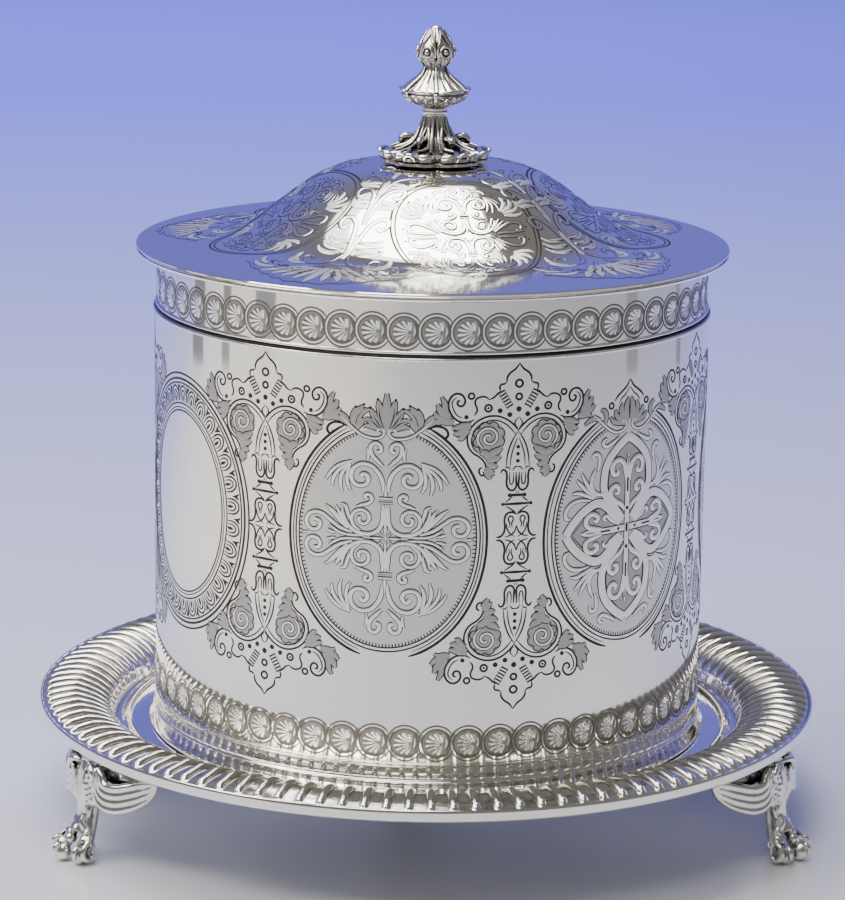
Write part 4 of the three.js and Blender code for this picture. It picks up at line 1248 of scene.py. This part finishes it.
def crest_leaves():
    """One half of the leaf that stands on the top of an oval, and its brackets."""
    leaves = [
        lobe(1.1, (1.0, 30.6), (3.4, 31.4), (5.2, 31.8), (6.6, 31.4)),
        lobe(1.3, (1.0, 31.0), (3.4, 32.6), (5.0, 33.4), (6.2, 33.8)),
        lobe(1.5, (0.9, 31.6), (2.8, 33.8), (3.8, 35.2), (4.5, 36.6)),
        lobe(1.6, (0.6, 32.4), (1.6, 35.4), (2.1, 37.4), (2.4, 39.0)),
        lobe(1.5, (8.8, 31.4), (8.2, 33.6), (6.8, 35.6), (4.8, 36.4)),
        lobe(1.4, (9.2, 31.8), (8.9, 34.2), (8.0, 36.0), (6.4, 37.4)),
        lobe(1.2, (9.6, 32.0), (9.6, 33.8), (9.3, 35.2), (8.8, 36.6)),
        lobe(1.2, (8.4, 30.8), (7.4, 32.2), (6.8, 33.2), (6.0, 33.4)),
        lobe(1.1, (10.6, 32.4), (11.8, 33.9), (12.8, 34.6), (13.8, 34.9)),
        lobe(1.1, (11.0, 31.9), (12.9, 33.1), (14.4, 33.7), (15.8, 33.8)),
    ]
    veins = [
        leaf_cut(0.4, (0.9, 31.4), (1.9, 34.6), (2.2, 37.8)),
        leaf_cut(0.4, (1.2, 31.0), (3.0, 33.6), (4.2, 35.6)),
        leaf_cut(0.4, (1.6, 30.8), (3.6, 32.6), (5.6, 33.4)),
        leaf_cut(0.4, (8.8, 32.0), (7.9, 34.4), (6.4, 36.0)),
        stroke(0.7, (11.2, 31.2), (13.6, 32.2), (15.7, 31.8), (16.9, 30.6), (16.8, 29.3),
               (15.9, 28.9), (15.2, 29.7), ends=(0.5, 1)),
        dot(4.6, 36.9, 0.42), dot(2.5, 39.3, 0.42), dot(6.4, 37.7, 0.38), dot(8.8, 36.9, 0.36),
    ]
    brackets = [
        stroke(0.72, (13.0, 34.0), (11.4, 32.6), (9.2, 30.7), (6.8, 29.1), (4.0, 28.4), (1.9, 28.6),
               (0.8, 29.6), (0.9, 30.9), (2.0, 31.1), (2.6, 30.3), ends=(0.4, 0.9)),
    ]
    return leaves, veins, brackets


def oval_rings(a, b, pair_a, pair_b):
    """Border of a filled oval: lines that stop behind the crest, and a fine ladder."""
    lines = [
        ellipse(a, b, 0.78, -76, 66, count=24),
        ellipse(a, b, 0.78, 114, 256, count=24),
        ellipse(a - 1.1, b - 1.1, 0.34, -74, 67, count=24),
        ellipse(a - 1.1, b - 1.1, 0.34, 113, 254, count=24),
        ellipse(pair_a, pair_b, 0.46, -250, 70),
        ellipse(pair_a - 1.0, pair_b - 1.1, 0.42, -250, 70),
    ]
    ladder_a, ladder_b = pair_a - 1.05, pair_b - 1.15
    ticks = []
    for t in np.linspace(math.radians(-250), math.radians(70), 150):
        c, s = math.cos(t), math.sin(t)
        ticks.append(stroke(0.36, (ladder_a * c, ladder_b * s),
                            ((ladder_a - 0.95) * c, (ladder_b - 0.95) * s), ends=(1, 1)))
    return lines, ticks


def foliate_motif(finishes):
    stems, bars = foliate_scrolls()
    leaves, veins, brackets = crest_leaves()
    rings, ticks = oval_rings(28.3, 34.8, 26.4, 32.6)
    field = patch("foliate_field", oval(25.2, 31.4), (0, 0), finishes["matted"], 0.015, 26)
    star = [stroke(0.9, (0, 0.5), (0, 2.6), ends=(0.3, 0.9)), stroke(0.9, (0, 2.4), (0, 5), (0, 9.6))]
    body = motif("foliate", finishes, [
        ("xy", "raised", stems + bars),
        ("y", "raised", [*star, stroke(0.9, (0, 12), (0, 15.4), ends=(1, 0.3))]),
        ("x", "raised", [stroke(0.9, (0.5, 0), (2.6, 0), (4.4, 0), ends=(0.3, 0.3)),
                         stroke(0.9, (22.6, 0), (24.6, 0), ends=(0.8, 0.3))]),
        ("xy", "cut", [dot(1.5, 1.0, 0.3)]),
        ("x", "leaf", leaves),
        ("", "leaf", [lobe(1.9, (0, 30.4), (0, 34.5), (0, 38.4), (0, 41.2))]),
        ("x", "over", veins),
        ("x", "raised", brackets),
        ("", "cut", rings),
    ], [field])
    return join("foliate", [body, draw("ladder", ticks, finishes["cut"], 0.16, 0.03, 1)])


def quatrefoil_motif(finishes):
    rings, ticks = oval_rings(28.6, 35.0, 26.1, 32.8)
    top_ribbon = stroke(2.4, (1.9, 2.6), (4.2, 5.4), (7.2, 8.8), (8.8, 11.4), (9.0, 15.2), (8.0, 19.4),
                        (4.4, 23.5), (0.1, 26.4), ends=(1, 1))
    side_ribbon = stroke(2.4, (2.4, 2.0), (5.4, 4.6), (8.2, 7.2), (10.8, 8.4), (14.4, 7.4),
                         (17.8, 5.0), (20.6, 1.8), (21.6, 0.1), ends=(1, 1))
    top_half = [(0, 25), (4, 22), (6.6, 18.5), (7.4, 15), (7.2, 11), (5.8, 8.5), (2.6, 4.5), (0, 2.6)]
    side_half = [(19.8, 0), (16.5, 3.5), (13.5, 6), (10.5, 7), (7, 6), (3.5, 3.2), (2.2, 0)]
    top_lobe = top_half + [(-x, y) for x, y in top_half[-2:0:-1]]
    side_lobe = side_half + [(x, -y) for x, y in side_half[-2:0:-1]]
    field = patch("quatrefoil_field", oval(25.0, 31.6), (0, 0), finishes["matted"], 0.015, 26)
    upper = patch("lobe_ground", top_lobe, (0, 14), finishes["shaded"], 0.028, 9)
    side = patch("lobe_ground", side_lobe, (11, 0), finishes["shaded"], 0.028, 9)
    scrolls = [
        stroke(1.5, (0.7, 13.6), (1.0, 16.6), (2.0, 19.2), (4.0, 20.1), (5.8, 18.9), (6.0, 16.9),
               (4.9, 15.9), (3.8, 16.6), (4.1, 17.6)),
        stroke(1.5, (1.0, 5.2), (2.4, 7.0), (4.8, 8.4), (6.4, 10.0), (6.2, 12.0), (4.6, 12.7),
               (3.5, 11.7), (3.8, 10.5), (4.8, 10.6)),
        stroke(1.5, (9.6, 0.9), (12.6, 1.4), (14.8, 2.4), (15.0, 4.2), (13.6, 5.4), (11.8, 5.2),
               (11.0, 4.2), (11.6, 3.4), (12.4, 3.7)),
        stroke(1.1, (3.4, 1.4), (6.0, 2.9), (8.0, 4.4), (8.8, 3.8), (8.2, 2.9)),
        stroke(1.1, (8.6, 10.8), (11.8, 11.4), (13.4, 13.6), (13.2, 16.4), (12.0, 18.8),
               ends=(1, 0.4)),
        stroke(1.1, (11.2, 10.8), (13.8, 12.8), (15.4, 15.0), (17.0, 17.8), ends=(1, 0.4)),
        stroke(1.1, (12.0, 10.6), (15.2, 12.6), (17.0, 14.4), (18.6, 16.0), ends=(1, 0.4)),
        stroke(1.1, (12.6, 10.2), (15.8, 11.4), (18.0, 12.2), (20.0, 12.0), ends=(1, 0.4)),
        stroke(1.1, (14.0, 9.6), (17.4, 10.0), (20.2, 9.2), (21.8, 7.2), (21.6, 5.2), (20.4, 4.8)),
        stroke(1.1, (11.4, 17.6), (10.8, 20.2), (11.2, 22.4), (12.8, 22.6), (13.0, 21.2)),
        stroke(1.1, (3.6, 26.8), (6.4, 25.2), (9.0, 24.6), (9.6, 26.0), (8.2, 26.8)),
    ]
    leaves = [
        lobe(1.6, (0.6, 31.2), (1.2, 33.6), (1.1, 35.8), (0.3, 37.8)),
        lobe(1.5, (1.0, 31.0), (2.8, 33.2), (3.2, 34.8), (2.6, 36.4)),
        lobe(1.3, (1.2, 30.6), (3.8, 32.0), (5.2, 33.2), (5.4, 34.8)),
        lobe(1.2, (1.4, 30.2), (4.2, 30.8), (6.2, 31.4), (7.4, 32.8)),
        lobe(1.2, (9.2, 31.2), (8.8, 33.2), (9.4, 34.6), (10.8, 35.4)),
        lobe(1.1, (10.8, 32.2), (12.8, 33.0), (14.6, 32.6), (16.4, 31.4)),
    ]
    crest = [
        stroke(0.62, (0.1, 42.8), (1.4, 40.9), (3.2, 39.6), (4.8, 38.4), (5.8, 37.2)),
        stroke(0.42, (0.1, 40.6), (1.6, 38.8), (3.2, 37.6), (4.2, 36.4)),
        ring(7.0, 35.9, 0.8, 0.6),
    ]
    bracket = stroke(0.72, (13.4, 34.0), (11.6, 32.6), (9.2, 30.5), (6.6, 28.7), (4.2, 28.1),
                     (2.0, 28.8), (1.1, 30.1), (1.9, 31.2), (3.0, 30.7), ends=(0.4, 0.9))
    rails = [
        stroke(0.4, (1.2, 3.2), (2.7, 5.0), (5.6, 8.4), (7.1, 11), (7.4, 15), (6.6, 18.4), (4, 21.9),
               (0.1, 24.9)),
        stroke(0.4, (1.9, 1.4), (3.6, 3.1), (7, 5.8), (10.5, 6.9), (13.5, 6), (16.5, 3.5), (19.6, 0.1)),
    ]
    slots = [stroke(0.62, (0, 10.4), (0, 14.4), ends=(1, 1)), stroke(0.5, (0, 18), (0, 20.6)),
             dot(0, 5.6, 0.55)]
    pegs = [stroke(0.5, (6.4, 0), (9.9, 0), ends=(1, 1)), dot(3.3, 0, 0.45),
            stroke(0.5, (12.1, 0), (14.8, 0))]
    body = motif("quatrefoil", finishes, [
        ("xy", "raised", scrolls),
        ("xy", "band", [top_ribbon, side_ribbon]),
        ("y", "band", [stroke(1.7, (0, 1.0), (0, 8), (0, 16), (0, 21.6), ends=(1, 0.3))]),
        ("x", "band", [stroke(1.7, (1.0, 0), (8, 0), (14.4, 0), (16.6, 0), ends=(1, 0.4))]),
        ("xy", "cut", rails),
        ("x", "leaf", leaves),
        ("x", "cut", crest),
        ("x", "raised", [bracket]),
        ("y", "over", slots),
        ("x", "over", pegs),
        ("", "over", [stroke(0.55, (0, -1.4), (0, 1.4), ends=(1, 1))]),
        ("", "cut", rings),
    ], [mirrored(upper, "y"), mirrored(side, "x"), field])
    return join("quatrefoil", [body, draw("ladder", ticks, finishes["cut"], 0.16, 0.03, 1)])


def plain_motif(finishes):
    """The empty reserve with its wreath of looped leaves."""
    loops = []
    count = 30
    for i in range(count):
        t = 2 * math.pi * (i + 0.5) / count
        centre = np.array([24.7 * math.cos(t), 31.2 * math.sin(t)])
        out = np.array([math.cos(t) / 24.7, math.sin(t) / 31.2])
        out /= np.linalg.norm(out)
        along = np.array([-out[1], out[0]])

        def at(u, v):
            return tuple(centre + u * out + v * along)

        loops += [
            stroke(0.56, at(-2.0, -2.1), at(0.4, -2.1), at(2.0, -1.3), at(2.6, 0), at(2.0, 1.3),
                   at(0.4, 2.1), at(-2.0, 2.1)),
            stroke(0.5, at(-1.9, -1.15), at(0.3, -1.1), at(1.3, 0), at(0.3, 1.1), at(-1.9, 1.15)),
            leaf_cut(1.0, at(-1.9, 0), at(-0.8, 0), at(0.6, 0)),
            leaf_cut(0.9, at(2.6, 2.1), at(1.5, 2.9), at(0.2, 2.95)),
            leaf_cut(0.8, at(2.8, 3.7), at(1.7, 3.1), at(0.6, 3.0)),
        ]
    rings = [ellipse(a, b, w) for a, b, w in [
        (20.2, 26.6, 0.5), (21.1, 27.5, 0.34), (22.3, 28.7, 0.5), (28.2, 34.6, 0.5),
        (29.4, 35.8, 0.72), (31.0, 37.4, 0.6)]]
    return motif("plain", finishes, [("", "cut", rings + loops)])


def roundel_motif(finishes):
    """A disc with a palmette that opens sideways; its right edge runs under the next disc."""
    lines = [
        ellipse(5.15, 5.15, 0.5, 31, 329, count=16),
        ellipse(4.15, 4.15, 0.46, 20, 340, count=16),
        stroke(0.5, (2.5, 3.2), (3.3, 1.5), (3.4, -0.4), (2.8, -2.2)),
        stroke(0.5, (-2.6, -2.9), (-1.2, -3.5), (0.6, -3.6), (2.2, -3.1)),
    ]
    petals = [stroke(0.5, (2.7, 1.5), (2.9, 0.2), (2.5, -1.1))]
    for angle in (66, 98, 128, 158, 188, 218, 248, 277):
        t = math.radians(angle)
        tip = (0.1 + 3.2 * math.cos(t), -0.1 + 3.15 * math.sin(t))
        root = (1.5 + 0.55 * math.cos(t), -0.1 + 0.55 * math.sin(t))
        middle = (0.45 * root[0] + 0.55 * tip[0], 0.45 * root[1] + 0.55 * tip[1])
        petals.append(stroke(1.15, root, middle, tip, ends=(0.3, 1.05)))
    ground = patch("roundel_ground", oval(4.1, 4.1, 24), (0, 0), finishes["recess"], 0.02, 6)
    return motif("roundel", finishes, [("", "worn", lines), ("", "petal", petals)], [ground], 3)


def dome_surface(centre):
    """The dome's top, measured down its slope; centre is that measure at the motif's middle."""
    line = np.array([(0.5, CROWN[1]), *dome_outline(), (BRIM_RADIUS, BRIM_TOP)])
    steps = np.diff(line, axis=0)
    length = np.concatenate([[0], np.cumsum(np.hypot(steps[:, 0], steps[:, 1]))])
    start = np.interp(FINIAL_FOOT, line[:, 0], length)

    def at(down, column):
        return np.interp(down, length, line[:, column])

    def surface(up):
        down = start + centre - up
        slope_r, slope_z = (at(down + 0.6, k) - at(down - 0.6, k) for k in (0, 1))
        norm = np.hypot(slope_r, slope_z)
        return at(down, 0), at(down, 1), -slope_z / norm, slope_r / norm

    return surface


def cartouche_motif(finishes):
    """Double-lined oval of the dome with its arabesque."""
    stems, bars = foliate_scrolls()
    scrolls = resized(stems[:CARTOUCHE_STEMS] + bars, 0.7)
    rings = [ellipse(22.0, 23.8, 0.7, count=40), ellipse(20.7, 22.5, 0.5, count=40)]
    corner = [
        lobe(1.3, (11.0, 9.0), (12.6, 11.0), (12.8, 13.0), (11.8, 14.6)),
        lobe(1.3, (11.6, 8.8), (14.0, 10.0), (15.0, 11.6), (14.8, 13.2)),
        lobe(1.2, (12.0, 8.2), (14.8, 8.6), (16.4, 9.4), (17.2, 10.8)),
        lobe(1.1, (12.2, 7.4), (15.2, 7.0), (17.2, 7.2), (18.4, 8.0)),
    ]
    side = [
        stroke(0.9, (8.0, 1.2), (11.2, 3.4), (14.6, 4.6), (16.6, 3.4), (16.4, 1.6), (15.0, 1.6)),
        stroke(0.8, (9.0, 0.7), (12.8, 0.8), (17.6, 1.0)),
        stroke(0.8, (2.6, 17.4), (4.6, 18.2), (6.8, 17.6), (7.4, 16.4)),
    ]
    return motif("cartouche", finishes, [
        ("xy", "raised", scrolls + side),
        ("xy", "frond", corner),
        ("y", "raised", [stroke(0.8, (0, 1.4), (0, 7.0)), stroke(0.8, (0, 8.6), (0, 11.4))]),
        ("xy", "cut", [dot(1.2, 1.0, 0.36), dot(9.6, 15.6, 0.4), dot(18.2, 2.4, 0.36)]),
        ("", "cut", rings),
    ])


def dome_foliage_motif(finishes):
    """Acanthus that fills the gap between two cartouches and falls over the brim; half is drawn."""
    stems = [
        stroke(1.1, (0.5, -12), (1.2, -4), (3.0, 2.0), (6.0, 3.6), (7.6, 1.2), (6.0, -0.8), (4.4, 0.8)),
        stroke(1.1, (0.6, 4), (1.0, 10), (2.4, 14.4), (5.6, 16.2), (7.4, 13.8), (6.0, 12.0),
               (4.6, 13.2)),
        stroke(1.1, (0.6, 14), (1.2, 19), (3.6, 22.4), (7.4, 22.8), (8.8, 20.6), (7.4, 19.2),
               (6.2, 20.4)),
        stroke(1.1, (0.8, -12), (3.6, -17), (8.2, -19.4), (12.2, -17.6), (12.0, -14.4), (9.4, -14.0),
               (8.8, -15.8)),
        stroke(1.1, (2.0, -20), (6.6, -24), (12.6, -26.4), (18.2, -25.6), (20.2, -22.6),
               (18.2, -20.8), (16.4, -22.2)),
        stroke(0.9, (0.2, 24), (1.6, 26.6), (4.4, 27.6), (6.0, 26.4)),
    ]
    leaves = [
        *[lobe(1.5, (1.4 + 0.6 * k, -6 - 2.6 * k), (4.4 + 0.7 * k, -6.4 - 2.6 * k),
               (7.0 + 0.8 * k, -6.0 - 2.4 * k), (8.6 + 1.0 * k, -4.6 - 2.2 * k)) for k in range(3)],
        *[lobe(1.4, (1.4, 7.6 + 2.2 * k), (3.6, 8.2 + 1.9 * k), (5.8, 8.0 + 1.5 * k),
               (7.4, 9.4 + 1.1 * k)) for k in range(2)],
        *[lobe(1.3, (1.6, 17.2 + 1.8 * k), (4.0, 17.4 + 1.5 * k), (6.4, 16.9 + 1.1 * k),
               (8.6, 17.6 + 0.9 * k)) for k in range(2)],
        lobe(1.6, (9.4, -19.6), (12.6, -20.4), (14.8, -19.0), (15.8, -16.6)),
        lobe(1.5, (11.4, -18.8), (13.8, -17.6), (14.6, -15.2), (14.0, -13.0)),
        lobe(1.6, (14.8, -26.0), (19.2, -27.6), (22.4, -26.8), (24.6, -24.8)),
        lobe(1.4, (18.4, -25.0), (21.6, -24.0), (23.4, -22.0), (23.8, -19.8)),
    ]
    tuft = [lobe(2.0, (1.6 * k, -24.0 + 0.3 * k), (2.7 * k, -28.6 + 0.5 * k),
                 (3.6 * k, -32.6 + 0.8 * k), (4.3 * k, -36.4 + 1.15 * k)) for k in (1, 2, 3, 4)]
    border = [
        stroke(0.8, (0.2, -38.6), (2.6, -38.0), (5.2, -38.4), (7.4, -36.6), (10.2, -36.6),
               (12.4, -34.6), (15.4, -34.2), (17.8, -31.8), (21.2, -30.8), (24.0, -28.0),
               (27.0, -26.4)),
    ]
    marks = [
        *[dot(5.2 + 3.4 * k, -29.6 + 1.5 * k, 0.55) for k in range(5)],
        *[ring(4.2 + 4.4 * k, -27.2 + 0.9 * k, 1.1, 0.5) for k in range(3)],
        *[leaf_cut(0.5, (1.2 + 0.7 * k, -6.4 - 2.6 * k), (4.6 + 0.7 * k, -6.4 - 2.6 * k),
                   (7.6 + 0.9 * k, -5.2 - 2.3 * k)) for k in range(3)],
        *[leaf_cut(0.5, (1.6 * k, -25.0), (2.8 * k, -30.0 + 0.5 * k), (4.0 * k, -34.6 + 1.0 * k))
          for k in (1, 2, 3, 4)],
        dot(3.2, 25.2, 0.42), dot(8.4, 25.0, 0.42), dot(9.2, -9.4, 0.42), dot(9.8, 11.0, 0.4),
    ]
    spine = [lobe(1.9, (0, -14), (0, -8), (0, -3)), lobe(1.9, (0, 1), (0, 6), (0, 10)),
             lobe(1.7, (0, 13), (0, 17), (0, 20.4)), lobe(1.5, (0, 22.6), (0, 25), (0, 27.6)),
             lobe(2.2, (0, -23), (0, -29), (0, -33.4), (0, -37.4))]
    return motif("dome_foliage", finishes, [
        ("x", "frond", leaves + tuft),
        ("", "frond", spine),
        ("x", "raised", stems + border),
        ("x", "over", marks),
    ])


def engrave_dome(finishes):
    """Five cartouches and the foliage between them, at the listed angles, spaced as the engraver placed
    them by eye.
    """
    pieces = []
    cartouche, foliage = cartouche_motif(finishes), dome_foliage_motif(finishes)
    oval_place, gap_place = dome_surface(CARTOUCHE_MIDDLE), dome_surface(FOLIAGE_MIDDLE)
    following = [*CARTOUCHES[1:], CARTOUCHES[0] + 360]
    for i, (centre, after) in enumerate(zip(CARTOUCHES, following)):
        middle = (centre + after) / 2
        pieces.append(wrapped(cartouche, f"dome_cartouche_{i + 1}", oval_place, TURN + centre))
        pieces.append(wrapped(foliage, f"dome_foliage_{i + 1}", gap_place, TURN + middle))
    bpy.data.objects.remove(cartouche)
    bpy.data.objects.remove(foliage)
    return pieces


def engrave_drum(finishes):
    """Ornament of the wall and both rows of roundels, as pieces in place."""
    pieces = []
    strap = strap_motif(finishes)
    for i in range(7):
        angle = TURN + FIRST_STRAP + 2 * ELEMENT_PITCH * i
        column = wrapped(strap, f"drum_strap_{i + 1}", upright(DRUM_RADIUS, OVAL_HEIGHT), angle)
        pieces.append((column, "box"))
    ovals = {  # each kind with the height of its middle
        "plain": (plain_motif(finishes), OVAL_HEIGHT),
        "foliate": (foliate_motif(finishes), OVAL_HEIGHT),
        "quatrefoil": (quatrefoil_motif(finishes), OVAL_HEIGHT - 1),
    }
    for i, kind in enumerate(["plain"] + ["foliate", "quatrefoil"] * 3):
        flat, height = ovals[kind]
        angle = TURN + FIRST_OVAL + 2 * ELEMENT_PITCH * i
        framed = wrapped(flat, f"drum_oval_{kind}_{i + 1}", upright(DRUM_RADIUS, height), angle)
        pieces.append((framed, "box"))
    roundel = roundel_motif(finishes)
    for name, body, radius, height, first in ROUNDEL_ROWS:
        row = []
        for i in range(ROUNDELS):
            angle = TURN + first + 360 / ROUNDELS * i
            row.append(wrapped(roundel, f"{name}_{i + 1}", upright(radius, height), angle))
        pieces.append((join(name + "_row", row), body))
    for flat in (strap, *(flat for flat, _ in ovals.values()), roundel):
        bpy.data.objects.remove(flat)
    return pieces


# Assembly


def build():
    set_camera()
    set_world()
    set_floor()
    set_lights()
    set_cards()
    finishes = make_finishes()
    polished, cast, inside = finishes["polished"], finishes["cast"], finishes["inside"]

    seat(make_tray_pan(), "box", finishes["border"], "tray_pan")
    band, painted_gap_shadow = make_tray_band()
    seat(band, "box", polished, "tray_rim_band")
    # painted shadow in the gap inside the tray's band
    seat(painted_gap_shadow, "box", finishes["worn"])
    seat(make_bead_ring(finishes), "box", solid="tray_bead_ring")

    foot = make_foot()
    for name, degrees in (("foot_front_left", -60), ("foot_front_right", 60), ("foot_back", 180)):
        seat(turned_to(twin(foot, name + "_paw"), degrees), "box", cast, name)
    bpy.data.objects.remove(foot)

    wall, ring, floor, collar, wire, seam = make_drum()
    seat(wall, "box", polished, "drum_wall")
    seat(ring, "box", polished, "drum_foot_ring")
    seat(floor, "box", inside, "drum_base_plate")
    seat(collar, "box", inside, "drum_bezel")
    seat(wire, "box", polished, "drum_top_wire")
    # painted shadow of the gap at the drum's mouth
    seat(seam, "box", finishes["cut"])

    dome, rim, skirt, roll = make_lid()
    seat(dome, "lid", polished, "lid_dome")
    seat(rim, "lid", polished, "lid_rim_wire")
    seat(skirt, "lid", polished, "lid_skirt")
    seat(roll, "lid", polished, "lid_lower_wire")

    seat(make_finial(), "lid", cast, "finial")
    washer, nut = make_fittings()
    seat(washer, "lid", inside, "finial_washer")
    seat(nut, "lid", inside, "finial_nut")

    for ornament, body in engrave_drum(finishes):
        seat(ornament, body)
    for ornament in engrave_dome(finishes):
        seat(ornament, "lid")

    drum_leaf, lid_leaf, pin = make_hinge()
    seat(drum_leaf, "box", polished, "hinge_body_leaf")
    seat(lid_leaf, "lid", polished, "hinge_lid_leaf")
    seat(pin, "box", finishes["pin"], "hinge_pin")


build()
deselect()
